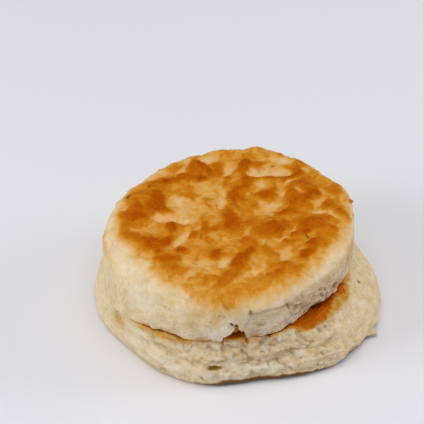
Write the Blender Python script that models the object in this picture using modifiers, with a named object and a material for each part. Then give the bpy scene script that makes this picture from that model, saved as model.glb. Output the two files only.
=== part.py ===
"""A buttermilk biscuit in two halves: a wide lower half, and the browned upper half set back on it a
little to the left. At the right front a ledge of the lower half stands clear of the lid, and below it
the flank slopes outward. The lower front is torn into layers, and so is the lid's front hem.

Lengths are millimetres until the meshes are made. Bearings are degrees seen from above, 0 at the right
(+X), 90 at the back (+Y) and 270 at the front.
"""

import bpy
import numpy as np

MM = 0.001
COLLECTION = "split_biscuit"

# Heights above the table.
SPLIT_Z = 14.0  # level of the split at the middle
GAP = 0.32  # air left between the halves
LID_TOP_Z = 30.2
BULGE_Z = 2.4  # level of the widest part of the lower half
LID_CENTRE = (-2.4, -1.0)

# Faces round each half, and the nominal radii that the turned bodies start from.
LOWER_STEPS = 104
LID_STEPS = 112
LOWER_RADIUS = 42.0
LOWER_BROW = 38.0
LOWER_FACE = 33.6
FLOOR_RADIUS = 37.0
LID_RADIUS = 38.0

# Level of the split at the rim by bearing: it dips at the left and lifts at the front.
SPLIT_LEVEL = {
    0: 14.6, 45: 15.0, 90: 14.8, 140: 14.0, 180: 12.8, 198: 12.3, 208: 12.2, 216: 12.9, 224: 13.9,
    236: 14.7, 250: 14.3, 262: 14.7, 274: 14.6, 284: 14.2, 296: 13.7, 306: 14.1, 316: 14.8, 328: 14.2,
    340: 14.0,
}
# Radii by bearing: the foot of the lower half, and its brow, where the flank turns into the upper face.
FOOT = {
    0: 42.4, 20: 40.2, 45: 40.4, 70: 42.2, 95: 43.0, 120: 43.0, 150: 43.2, 180: 43.6, 200: 42.8,
    219: 41.3, 240: 43.1, 257: 43.0, 268: 40.6, 284: 39.6, 297: 41.7, 310: 43.4, 321: 43.4, 332: 43.0,
    345: 43.6,
}
BROW = {
    0: 34.0, 20: 34.0, 45: 36.0, 70: 39.0, 95: 39.6, 120: 39.8, 150: 40.0, 180: 40.6, 200: 41.0,
    215: 41.3, 228: 41.3, 238: 40.8, 247: 39.8, 256: 38.0, 265: 36.9, 278: 36.6, 288: 36.4, 298: 36.6,
    315: 36.2, 330: 35.4, 345: 34.2,
}
# Radii of the lid about its own centre: the torn hem, the waist and the shoulder of the crust.
HEM = {
    0: 36.6, 30: 37.4, 60: 37.8, 90: 37.8, 120: 37.2, 150: 37.0, 180: 37.6, 200: 38.8, 214: 39.8,
    224: 39.4, 236: 38.4, 250: 37.8, 262: 36.8, 276: 37.0, 284: 36.3, 292: 35.4, 297: 34.8, 302: 33.6,
    310: 33.1, 320: 33.4, 334: 33.8, 346: 34.8, 354: 35.6,
}
WAIST = {
    0: 36.4, 20: 37.2, 40: 38.2, 65: 38.2, 90: 38.0, 120: 36.8, 150: 36.4, 165: 37.0, 180: 37.8,
    200: 38.8, 220: 39.4, 236: 39.2, 250: 38.6, 270: 37.8, 285: 37.0, 300: 36.2, 320: 35.8, 340: 36.0,
}
SHOULDER = {
    0: 35.2, 12: 36.2, 23: 38.7, 32: 37.2, 40: 35.8, 52: 37.5, 66: 37.0, 78: 37.2, 88: 35.2, 97: 36.0,
    106: 33.9, 116: 33.6, 122: 33.8, 135: 32.8, 148: 32.8, 158: 34.3, 172: 35.0, 186: 36.7, 202: 36.7,
    225: 37.0, 245: 36.6, 265: 36.4, 285: 36.0, 305: 35.4, 325: 35.0, 345: 35.0,
}

RELIEF_SCALE = 1.25
# Blisters and hollows of the crust: middle, half length and half width, turn of the length, height.
CRUST_MARKS = (
    ((-30.0, 7.0), (9.0, 5.0), 70, 0.45),  # the long brown swell at the left
    ((-14.0, 22.0), (6.0, 3.5), 40, 0.55),
    ((1.5, 23.0), (5.5, 2.8), 85, 0.55),
    ((-1.0, 4.0), (9.0, 3.2), 92, 0.5),  # the brown backbone down the middle
    ((19.0, 12.0), (5.6, 5.2), 0, 0.8),  # a round blister, sunk in its middle
    ((19.5, 12.0), (2.4, 2.2), 0, -0.6),
    ((27.0, 7.0), (5.0, 2.4), 60, 0.45),
    ((12.0, -6.0), (8.0, 3.6), 20, 0.6),
    ((25.0, -5.0), (5.5, 4.0), -50, 0.5),
    ((20.0, -15.0), (7.0, 2.8), 50, 0.5),
    ((-27.0, -12.0), (7.5, 3.4), -42, 0.5),
    ((-20.5, -6.0), (4.0, 2.4), 70, 0.45),
    ((0.0, -22.0), (9.5, 2.8), 58, 0.55),  # the streak running to the front
    ((9.0, -29.0), (5.5, 3.6), 30, 0.35),
    ((5.5, 33.2), (2.4, 2.2), 0, 0.9),  # the peak on the back rim
    ((9.0, 21.3), (6.4, 2.2), 8, -0.9),  # pale hollows, from the back to the front
    ((-6.0, 22.5), (4.0, 2.6), 20, -0.6),
    ((-9.0, 29.5), (3.6, 2.4), 20, -0.4),
    ((12.0, 11.0), (6.0, 2.2), 80, -0.6),
    ((-7.0, 8.5), (6.5, 2.6), 88, -0.7),
    ((-17.5, 6.0), (4.6, 4.0), 0, -0.65),
    ((-18.5, -1.2), (7.0, 2.2), -8, -0.8),
    ((9.3, 4.0), (3.2, 2.6), 40, -0.7),
    ((25.5, 13.0), (5.0, 2.0), 70, -0.5),
    ((-17.0, -10.3), (3.8, 2.2), 45, -0.7),
    ((13.5, -17.5), (2.6, 2.8), 0, -0.6),
    ((-12.0, -20.5), (3.4, 2.6), 0, -0.45),
    ((8.0, -23.6), (6.5, 2.2), 27, -0.6),
)

# Bays in the lid's torn hem: bearing, half width in degrees, how far in and how high. The deep one is a
# notch at the front; the shallow ones let the lower half's brown rim show.
HEM_BAYS = (
    (272.0, 3.6, 4.6, 6.0), (230.0, 2.4, 1.6, 1.8), (240.5, 5.0, 2.0, 2.2), (257.0, 2.6, 1.0, 1.6),
    (318.5, 4.2, 1.3, 4.0), (337.8, 2.8, 1.3, 4.0),
)
# Right of the notch the skin is torn off, up to this level by bearing, and the crumb stands back there.
TEAR_TOP = {274: 17.0, 279: 25.4, 296: 25.6, 305: 22.5, 320: 18.0}
TEAR_DEPTH = 0.8

# Torn layers of the lower front: (level of the ledge, how far it stands out).
LAYERS = ((4.6, 0.35), (7.4, -0.45), (9.6, 0.4), (11.4, -0.35))
LAYER_BEARINGS = (222.0, 322.0)
# A small crag at the foot: bearing, half width in degrees, and how far it stands out.
LIP_BEARING = 334.5
LIP_HALF = 3.2
LIP_REACH = 1.9

# A slot between two layers of the lower front: bearing, level, and half sizes along, up and in.
POCKET_BEARING = 260.0
POCKET_Z = 6.4
POCKET_HALF = (2.3, 0.75, 1.6)


def clear_scene():
    for item in list(bpy.data.objects):
        bpy.data.objects.remove(item, do_unlink=True)


def make_collection(name):
    made = bpy.data.collections.new(name)
    bpy.context.scene.collection.children.link(made)
    return made


def make_material(name, colour, roughness):
    made = bpy.data.materials.new(name)
    made.use_nodes = True
    shader = made.node_tree.nodes["Principled BSDF"]
    shader.inputs["Base Color"].default_value = (*colour, 1.0)
    shader.inputs["Roughness"].default_value = roughness
    shader.inputs["Metallic"].default_value = 0.0
    made.diffuse_color = (*colour, 1.0)
    return made


# --- fields over the biscuit -------------------------------------------------------------------------


def by_bearing(table, bearing):
    """A smooth closed curve through the table's radii, read at each bearing."""
    whole = np.arange(720) * 0.5
    keys = sorted(table)
    line = np.interp(whole, keys, [table[key] for key in keys], period=360)
    turns = np.fft.rfftfreq(720, d=1.0 / 720)
    soft = np.fft.irfft(np.fft.rfft(line) * np.exp(-((turns / 17.0) ** 2)), 720)
    return np.interp(np.mod(bearing, 360), whole, soft, period=360)


def smooth(low, high, value):
    share = np.clip((value - low) / (high - low), 0.0, 1.0)
    return share * share * (3 - 2 * share)


def between(span, fade, value):
    """1 inside a span of bearings or heights, falling to 0 over the fade at both ends."""
    return smooth(span[0] - fade, span[0] + fade, value) * (1 - smooth(span[1] - fade, span[1] + fade, value))


def hash_noise(column, row, layer, seed):
    mixed = np.sin(column * 127.1 + row * 311.7 + layer * 74.7 + seed * 53.3) * 43758.5453
    return (mixed - np.floor(mixed)) * 2 - 1


def noise(x, y, z, size, seed):
    """Value noise in space, from -1 to 1, with lumps about as wide as the size given."""
    px, py, pz = x / size + seed * 7.13, y / size - seed * 3.71, z / size + seed * 1.37
    cx, cy, cz = np.floor(px), np.floor(py), np.floor(pz)
    fx, fy, fz = px - cx, py - cy, pz - cz
    fx, fy, fz = (f * f * (3 - 2 * f) for f in (fx, fy, fz))
    total = 0.0
    for i in (0, 1):
        for j in (0, 1):
            for k in (0, 1):
                weight = np.abs(1 - i - fx) * np.abs(1 - j - fy) * np.abs(1 - k - fz)
                total = total + weight * hash_noise(cx + i, cy + j, cz + k, seed)
    return total


def swell(x, y, middle, reach, turn):
    """A soft round or long swelling of height 1; reach is its half length and half width."""
    angle = np.radians(turn)
    dx, dy = x - middle[0], y - middle[1]
    along = dx * np.cos(angle) + dy * np.sin(angle)
    across = dy * np.cos(angle) - dx * np.sin(angle)
    return np.exp(-((along / reach[0]) ** 2) - (across / reach[1]) ** 2)


def split_relief(x, y):
    """How far both torn faces stray from their middle level: the rim as told, and a little unevenness."""
    bearing = np.degrees(np.arctan2(y, x))
    rim = (by_bearing(SPLIT_LEVEL, bearing) - SPLIT_Z) * smooth(12.0, 36.0, np.hypot(x, y))
    return rim + 0.3 * noise(x, y, 0 * x, 17.0, 3) + 0.15 * noise(x, y, 0 * x, 8.0, 5)


def crust_relief(x, y):
    """Height of the crust about its mean level: the marks by hand, and a fine unevenness between them."""
    total = 0.3 * noise(x, y, 0 * x, 7.0, 31)
    for middle, reach, turn, height in CRUST_MARKS:
        total = total + RELIEF_SCALE * height * swell(x, y, middle, reach, turn)
    return total


# --- turned bodies -----------------------------------------------------------------------------------


def turned_body(name, profile, steps, home):
    """Turns a profile of (radius, height) about the Z axis and returns the plain mesh object."""
    mesh = bpy.data.meshes.new(name)
    points = [(r * MM, 0.0, z * MM) for r, z in profile]
    mesh.from_pydata(points, [(i, i + 1) for i in range(len(points) - 1)], [])
    body = bpy.data.objects.new(name, mesh)
    home.objects.link(body)
    screw = body.modifiers.new("turn", "SCREW")
    screw.steps = steps
    screw.render_steps = steps
    screw.use_merge_vertices = True
    screw.merge_threshold = 1e-5
    graph = bpy.context.evaluated_depsgraph_get()
    made = bpy.data.meshes.new_from_object(body.evaluated_get(graph))
    body.modifiers.clear()
    body.data = made
    bpy.data.meshes.remove(mesh)
    made.name = name
    made.shade_smooth()
    return body


def points_of(body):
    flat = np.empty(len(body.data.vertices) * 3)
    body.data.vertices.foreach_get("co", flat)
    return flat.reshape(-1, 3) / MM


def move_points(body, points):
    body.data.vertices.foreach_set("co", (points * MM).ravel())
    body.data.update()


def arc(centre, radii, start, stop, count):
    """Points on an elliptic arc about a centre, from one angle to another in degrees."""
    turn = np.radians(np.linspace(start, stop, count))
    return [(centre[0] + radii[0] * np.cos(t), centre[1] + radii[1] * np.sin(t)) for t in turn]


def bearings_of(points, centre=(0.0, 0.0)):
    return np.mod(np.degrees(np.arctan2(points[:, 1] - centre[1], points[:, 0] - centre[0])), 360)


def push_out(points, bearing, out):
    points[:, 0] += out * np.cos(np.radians(bearing))
    points[:, 1] += out * np.sin(np.radians(bearing))


# --- lower half --------------------------------------------------------------------------------------


def lower_side():
    """The turned side from the rim of the upper face down to the floor, as (radius, height)."""
    brow = arc((LOWER_BROW - 2.4, SPLIT_Z - 2.4), (2.4, 2.4), 80, 10, 4)
    shares = ((0.2, 10.4), (0.38, 9.2), (0.55, 7.9), (0.7, 6.6), (0.84, 5.3), (0.95, 4.0))
    flank = [(LOWER_BROW + share * (LOWER_RADIUS - LOWER_BROW), z) for share, z in shares]
    foot = arc((LOWER_RADIUS - 2.6, BULGE_Z), (2.6, BULGE_Z), 0, -82, 5)
    return brow + flank + foot


def lower_profile():
    face = [(r, SPLIT_Z) for r in (0.0, 6.0, 12.0, 18.0, 23.0, 27.5, 31.0, LOWER_FACE)]
    under = [(r, 0.0) for r in (FLOOR_RADIUS, 30.0, 20.0, 10.0, 0.0)]
    return face + lower_side() + under


def lower_radius(bearing, z):
    """The lower half's real radius at each bearing and height: upright at the left, leaning at the right."""
    foot, brow = by_bearing(FOOT, bearing), by_bearing(BROW, bearing)
    rise = np.clip((z - BULGE_Z) / (SPLIT_Z - 1.2 - BULGE_Z), 0.0, 1.1)
    power = 1.7 + 0.5 * np.cos(np.radians(bearing))
    under = np.clip((BULGE_Z - z) / BULGE_Z, 0.0, 1.0)
    return foot - (foot - brow) * rise**power - 2.6 * (1 - np.sqrt(1 - under**2))


def layer_relief(bearing, z):
    """Ledges and grooves that run along the torn front, rising and falling as they go."""
    wander = 0.7 * np.sin(np.radians(bearing * 5)) + 0.5 * np.sin(np.radians(bearing * 11 + 40))
    total = 0.0
    for level, out in LAYERS:
        total = total + out * np.exp(-(((z - level - wander) / 0.9) ** 2))
    return total * between(LAYER_BEARINGS, 9.0, bearing)


def shape_lower(body):
    points = points_of(body)
    bearing, z = bearings_of(points), points[:, 2].copy()
    on_face = z > SPLIT_Z - 0.01
    on_floor = z < 0.01
    side = lower_side()[::-1]
    nominal = np.interp(z, [height for _, height in side], [radius for radius, _ in side])
    real = lower_radius(bearing, z)
    nominal = np.where(on_face, LOWER_FACE, np.where(on_floor, FLOOR_RADIUS, nominal))
    face_rim = by_bearing(BROW, bearing) - (LOWER_BROW - LOWER_FACE) + 1.0
    floor_rim = by_bearing(FOOT, bearing) - (LOWER_RADIUS - FLOOR_RADIUS) + 0.8
    real = np.where(on_face, face_rim, np.where(on_floor, floor_rim, real))
    points[:, :2] *= (real / nominal)[:, None]
    x, y = points[:, 0].copy(), points[:, 1].copy()
    flaky = 0.5 - 0.5 * np.sin(np.radians(bearing))
    out = 0.35 * noise(x, y, z * 1.6, 9.0, 11) + (0.1 + 0.25 * flaky) * noise(x, y, z * 2.6, 4.2, 12)
    out = (out + layer_relief(bearing, z)) * smooth(0.2, 2.2, z) * ~on_face
    lip = np.exp(-(((bearing - LIP_BEARING) / LIP_HALF) ** 2))
    out = out + LIP_REACH * lip * (z < 0.9) * ~on_floor
    push_out(points, bearing, out)
    points[:, 2] += split_relief(x, y) * smooth(9.0, SPLIT_Z, z)
    move_points(body, points)


def cut_pocket(body, cutters):
    """Cuts the slot between two layers with a flattened ball."""
    bpy.ops.mesh.primitive_uv_sphere_add(segments=12, ring_count=8, radius=MM)
    ball = bpy.context.object
    ball.name = "pocket_cutter"
    for home in list(ball.users_collection):
        home.objects.unlink(ball)
    cutters.objects.link(ball)
    radius = float(lower_radius(np.array([POCKET_BEARING]), np.array([POCKET_Z]))[0])
    angle = np.radians(POCKET_BEARING)
    ball.location = (radius * np.cos(angle) * MM, radius * np.sin(angle) * MM, POCKET_Z * MM)
    ball.rotation_euler = (0.0, np.radians(-4), angle - np.radians(90))
    ball.scale = (POCKET_HALF[0], POCKET_HALF[2], POCKET_HALF[1])
    ball.hide_render = True
    ball.display_type = "WIRE"
    cut = body.modifiers.new("pocket", "BOOLEAN")
    cut.operation = "DIFFERENCE"
    cut.object = ball
    return ball


# --- upper half --------------------------------------------------------------------------------------


def lid_profile():
    crust = [(r, LID_TOP_Z) for r in (0.0, 3.5, 7.0, 10.5, 14.0, 17.5, 21.0, 24.5, 27.5, 30.0, 32.0)]
    shoulder = arc((LID_RADIUS - 4.6, LID_TOP_Z - 5.0), (4.6, 5.0), 75, 0, 6)
    wall = [(LID_RADIUS, z) for z in (23.6, 22.0, 20.4, 18.9, 17.6, 16.5)]
    hem = [(LID_RADIUS, SPLIT_Z + 1.6), (LID_RADIUS - 0.3, SPLIT_Z + 0.9), (LID_RADIUS - 1.2, SPLIT_Z + GAP)]
    under = [(r, SPLIT_Z + GAP) for r in (34.0, 29.0, 22.0, 14.0, 7.0, 0.0)]
    return crust + shoulder + wall + hem + under


def lid_radius(bearing, z):
    hem, waist = by_bearing(HEM, bearing), by_bearing(WAIST, bearing)
    shoulder = by_bearing(SHOULDER, bearing)
    low = smooth(SPLIT_Z + 0.5, 20.5, z)
    high = smooth(20.0, 28.5, z)
    return hem * (1 - low) + waist * low + (shoulder - waist + 1.4) * high


def torn_front(bearing, z):
    """How far the lid's torn front stands back from the smooth skin: the step under it, and the bays."""
    top = np.interp(bearing, list(TEAR_TOP), list(TEAR_TOP.values()))
    inside = between((min(TEAR_TOP), max(TEAR_TOP)), 2.5, bearing)
    total = TEAR_DEPTH * inside * (1 - smooth(top - 0.9, top + 0.9, z))
    for middle, half_width, depth, height in HEM_BAYS:
        bay = np.exp(-(((bearing - middle) / half_width) ** 4))
        total = total + depth * bay * (1 - smooth(SPLIT_Z - 0.5, SPLIT_Z - 0.5 + height, z))
    return total


def shape_lid(body):
    points = points_of(body)
    bearing, z = bearings_of(points), points[:, 2].copy()
    points[:, :2] *= (lid_radius(bearing, z) / LID_RADIUS)[:, None]
    points[:, :2] += LID_CENTRE
    x, y = points[:, 0].copy(), points[:, 1].copy()
    rim = smooth(30.0, 36.0, np.hypot(x - LID_CENTRE[0], y - LID_CENTRE[1]))
    ragged = 0.45 * noise(x, y, 0 * x, 3.6, 23) * (1 - smooth(15.5, 18.0, z))
    uneven = 0.3 * noise(x, y, z * 1.5, 9.0, 21) + 0.16 * noise(x, y, z * 2.0, 4.4, 22)
    out = uneven * smooth(15.0, 16.5, z) * (1 - smooth(26.0, 29.0, z)) + ragged - torn_front(bearing, z)
    push_out(points, bearing, out * rim)
    points[:, 2] += split_relief(x, y) * (1 - smooth(15.0, 20.0, z))
    points[:, 2] += crust_relief(x, y) * smooth(25.5, 30.0, z)
    move_points(body, points)


def centre_on_floor(bodies):
    """Moves the whole biscuit so that its box stands on the origin, centred."""
    every = np.concatenate([points_of(body) for body in bodies])
    shift = (every.max(axis=0) + every.min(axis=0)) / 2
    shift[2] = every[:, 2].min()
    for body in bodies:
        move_points(body, points_of(body) - shift)
    return shift


def main():
    clear_scene()
    home = make_collection(COLLECTION)
    cutters = make_collection("cutters")
    lower = turned_body("biscuit_bottom", lower_profile(), LOWER_STEPS, home)
    shape_lower(lower)
    lower.data.materials.append(make_material("cream_crumb", (0.80, 0.66, 0.42), 0.8))
    lid = turned_body("biscuit_top", lid_profile(), LID_STEPS, home)
    shape_lid(lid)
    lid.data.materials.append(make_material("browned_crust", (0.60, 0.31, 0.09), 0.6))
    shift = centre_on_floor((lower, lid))
    pocket = cut_pocket(lower, cutters)
    pocket.location = [place - step * MM for place, step in zip(pocket.location, shift)]


main()
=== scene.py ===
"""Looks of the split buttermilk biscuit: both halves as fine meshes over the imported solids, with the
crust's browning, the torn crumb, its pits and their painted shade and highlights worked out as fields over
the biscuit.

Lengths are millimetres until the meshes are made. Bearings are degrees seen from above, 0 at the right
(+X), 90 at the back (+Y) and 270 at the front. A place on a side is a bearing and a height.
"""

import math

import bpy
import numpy as np
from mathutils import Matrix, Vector


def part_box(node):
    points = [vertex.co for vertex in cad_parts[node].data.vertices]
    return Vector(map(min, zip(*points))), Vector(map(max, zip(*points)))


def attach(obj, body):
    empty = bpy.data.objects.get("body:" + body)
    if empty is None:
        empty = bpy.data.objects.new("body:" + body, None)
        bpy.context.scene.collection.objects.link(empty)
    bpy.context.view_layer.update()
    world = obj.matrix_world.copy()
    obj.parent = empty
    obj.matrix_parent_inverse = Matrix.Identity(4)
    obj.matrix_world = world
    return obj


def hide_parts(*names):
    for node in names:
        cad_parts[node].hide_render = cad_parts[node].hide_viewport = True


MM = 0.001
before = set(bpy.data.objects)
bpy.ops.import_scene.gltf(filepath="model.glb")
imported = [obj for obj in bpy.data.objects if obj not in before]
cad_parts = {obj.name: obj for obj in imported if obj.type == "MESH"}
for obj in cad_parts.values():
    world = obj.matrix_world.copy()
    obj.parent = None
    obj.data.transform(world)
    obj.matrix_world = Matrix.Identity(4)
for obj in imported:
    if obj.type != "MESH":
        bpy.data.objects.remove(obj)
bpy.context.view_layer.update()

# --- sizes shared with the solids -------------------------

SPLIT_Z = 14.0
GAP = 0.32
LID_TOP_Z = 30.2
BULGE_Z = 2.4
LID_CENTRE = (-2.4, -1.0)
LOWER_RADIUS = 42.0
LOWER_BROW = 38.0
LOWER_FACE = 33.6
FLOOR_RADIUS = 37.0
LID_RADIUS = 38.0

# Level of the split at the rim by bearing: it dips at the left and lifts at the front.
SPLIT_LEVEL = {
    0: 14.6, 45: 15, 90: 14.8, 140: 14, 180: 12.8, 198: 12.3, 208: 12.2, 216: 12.9, 224: 13.9, 236: 14.7,
    250: 14.3, 262: 14.7, 274: 14.6, 284: 14.2, 296: 13.7, 306: 14.1, 316: 14.8, 328: 14.2, 340: 14,
}
# Radius by bearing, from the floor up: the lower half's foot and brow, the lid's hem, waist and shoulder.
FOOT = {
    0: 42.4, 20: 40.2, 45: 40.4, 70: 42.2, 95: 43, 120: 43, 150: 43.2, 180: 43.6, 200: 42.8, 219: 41.3,
    240: 43.1, 257: 43, 268: 40.6, 284: 39.6, 297: 41.7, 310: 43.4, 321: 43.4, 332: 43, 345: 43.6,
}
BROW = {
    0: 34, 20: 34, 45: 36, 70: 39, 95: 39.6, 120: 39.8, 150: 40, 180: 40.6, 200: 41, 215: 41.3, 228: 41.3,
    238: 40.8, 247: 39.8, 256: 38, 265: 36.9, 278: 36.6, 288: 36.4, 298: 36.6, 315: 36.2, 330: 35.4,
    345: 34.2,
}
HEM = {
    0: 36.6, 30: 37.4, 60: 37.8, 90: 37.8, 120: 37.2, 150: 37, 180: 37.6, 200: 38.8, 214: 39.8, 224: 39.4,
    236: 38.4, 246: 38.3, 252: 38.3, 262: 37, 276: 37, 284: 36.8, 292: 36.2, 297: 35.2, 302: 33.7,
    310: 33.1, 320: 33.4, 334: 33.8, 346: 34.8, 354: 35.6,
}
WAIST = {
    0: 36.4, 20: 37.2, 40: 38.2, 65: 38.2, 90: 38, 120: 36.8, 150: 36.4, 165: 37, 180: 37.8, 200: 38.8,
    220: 39.4, 236: 39.2, 250: 38.6, 270: 37.8, 285: 37, 300: 36.2, 320: 35.8, 340: 36,
}
SHOULDER = {
    0: 35.2, 12: 36.2, 23: 38.7, 32: 37.2, 40: 35.8, 52: 37.5, 66: 37, 78: 37.2, 88: 35.2, 97: 36,
    106: 33.9, 116: 33.6, 122: 33.8, 135: 32.8, 148: 32.8, 158: 34.3, 172: 35, 186: 36.7, 202: 36.7,
    225: 37, 245: 36.6, 265: 36.4, 285: 36, 305: 35.4, 325: 35, 345: 35,
}
# Blisters and hollows of the crust: middle's x and y, half length, half width, turn, height. The heights
# are scaled by one factor.
RELIEF_SCALE = 1.25
CRUST_MARKS = (
    (-30, 7, 9, 5, 70, 0.45), (-14, 22, 6, 3.5, 40, 0.55), (1.5, 23, 5.5, 2.8, 85, 0.55),
    (-1, 4, 9, 3.2, 92, 0.5), (19, 12, 5.6, 5.2, 0, 0.8), (19.5, 12, 2.4, 2.2, 0, -0.6),
    (27, 7, 5, 2.4, 60, 0.45), (12, -6, 8, 3.6, 20, 0.6), (25, -5, 5.5, 4, -50, 0.5),
    (20, -15, 7, 2.8, 50, 0.5), (-27, -12, 7.5, 3.4, -42, 0.5), (-20.5, -6, 4, 2.4, 70, 0.45),
    (0, -22, 9.5, 2.8, 58, 0.55), (9, -29, 5.5, 3.6, 30, 0.35), (5.5, 33.2, 2.4, 2.2, 0, 0.9),
    (9, 21.3, 6.4, 2.2, 8, -0.9), (-6, 22.5, 4, 2.6, 20, -0.6), (-9, 29.5, 3.6, 2.4, 20, -0.4),
    (12, 11, 6, 2.2, 80, -0.6), (-7, 8.5, 6.5, 2.6, 88, -0.7), (-17.5, 6, 4.6, 4, 0, -0.65),
    (-18.5, -1.2, 7, 2.2, -8, -0.8), (9.3, 4, 3.2, 2.6, 40, -0.7), (25.5, 13, 5, 2, 70, -0.5),
    (-17, -10.3, 3.8, 2.2, 45, -0.7), (13.5, -17.5, 2.6, 2.8, 0, -0.6), (-12, -20.5, 3.4, 2.6, 0, -0.45),
    (8, -23.6, 6.5, 2.2, 27, -0.6),
)
# Bays torn into the lid's hem: bearing, half its width in degrees, depth, height.
HEM_BAYS = (
    (230, 2.4, 1.6, 1.8), (240.5, 5, 2, 2.2), (257, 2.6, 1, 1.6), (318.5, 4.2, 1.3, 4),
    (337.8, 2.8, 1.3, 4),
)
# The notch: its depth, its top, and its two edges as bearings by level.
NOTCH_DEPTH = 3.8
NOTCH_TOP = 21.4
NOTCH_LEFT = {14: 266.2, 15.6: 266.8, 16.6: 268.6, 17.6: 269.9, 18.6: 271.2, 19.6: 271.6, 21.4: 272}
NOTCH_RIGHT = {14: 277, 15.6: 276.6, 17: 275.9, 18.1: 275.5, 18.7: 273.8, 19.4: 272.9, 21.4: 272.6}
# The torn step at the lid's front: its depth, how softly it ends, and its upper edge by bearing.
TEAR_DEPTH = 0.8
TEAR_SOFTNESS = 0.35
TEAR_TOP = {274: 17, 279: 25.4, 296: 25.6, 305: 22.5, 320: 18}
# Flaky layers of the lower front: level and how far each stands out.
LAYERS = ((4.6, 0.35), (7.4, -0.45), (9.6, 0.4), (11.4, -0.35))
LAYER_BEARINGS = (222, 322)
# The thin flake at the right foot, the swelling above it, and the slot at the front.
LIP_BEARING = 334.5
LIP_REACH = 2.8
LIP_HALF = 2.2
CRAG_BEARING = 338.0
CRAG_HALF = 5.0
CRAG_REACH = 0.7
POCKET_BEARING = 260.0
POCKET_Z = 6.4
POCKET_HALF = (2.3, 0.75, 1.6)

# --- what only the looks have -----------------------------

# Fine meshes: quads across the lid's crust, faces round the lower half, and the step down the sides.
LID_GRID = 200
LOWER_TURN = 1000
SIDE_STEP = 0.33

# How far the torn teeth of the lid's hem lift off the lower half.
HEM_TEETH = 0.9
# Radii at which the sides are unrolled, so that marks on them are measured in mm.
LOWER_UNROLLED = 40.0
LID_UNROLLED = 37.0
SIDE_UNROLLED = 38.0

# Stretches of the lower half, as bearings from and to; those of the right run on past 360.
LOWER_TORN = (258, 318)
LOWER_HALF_TORN = (228, 258)
LOWER_FLANK = (310, 390)
FLAKY = (232, 314)
GILT = (222, 259)
RECESS = (251.6, 257.6)
NOTCH_FLOOR = (263, 275)
BARE_LEDGE = (296, 342)
# Where the bare ledge is burnt close to the hem, and how softly each stretch ends.
LEDGE_BAYS = ((312, 328, 3), (335, 342, 2))
# The dark undercut at its foot, the browned underside with painted contact shadow, where that reaches
# higher, and where lower.
UNDERCUT = (254, 343)
UNDERCUT_HIGH = (260, 300)
UNDERCUT_LOW = (330, 339)
# The crack under the lid's hem: where it is open in the notch and over the bare ledge, where it is shut,
# and the brown line in its depth.
CRACK = (212, 350)
CRACK_NOTCH = (262, 274)
CRACK_BARE = (281, 346)
CRACK_SHUT = (248, 282)
CRACK_CLOSING = (200, 230)
SEAM_LINE = (206, 262)
SEAM_DEEP = (228, 250)
# Stretches of the lid.
LID_TORN = (292, 374)
LID_TEAR = (277, 322)
LID_HOLLOW = (303, 336)
HEM_LIFTED = (250, 345)
HEM_CLOSED = (203, 264)
HEM_RAGGED = (276, 350)

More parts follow.
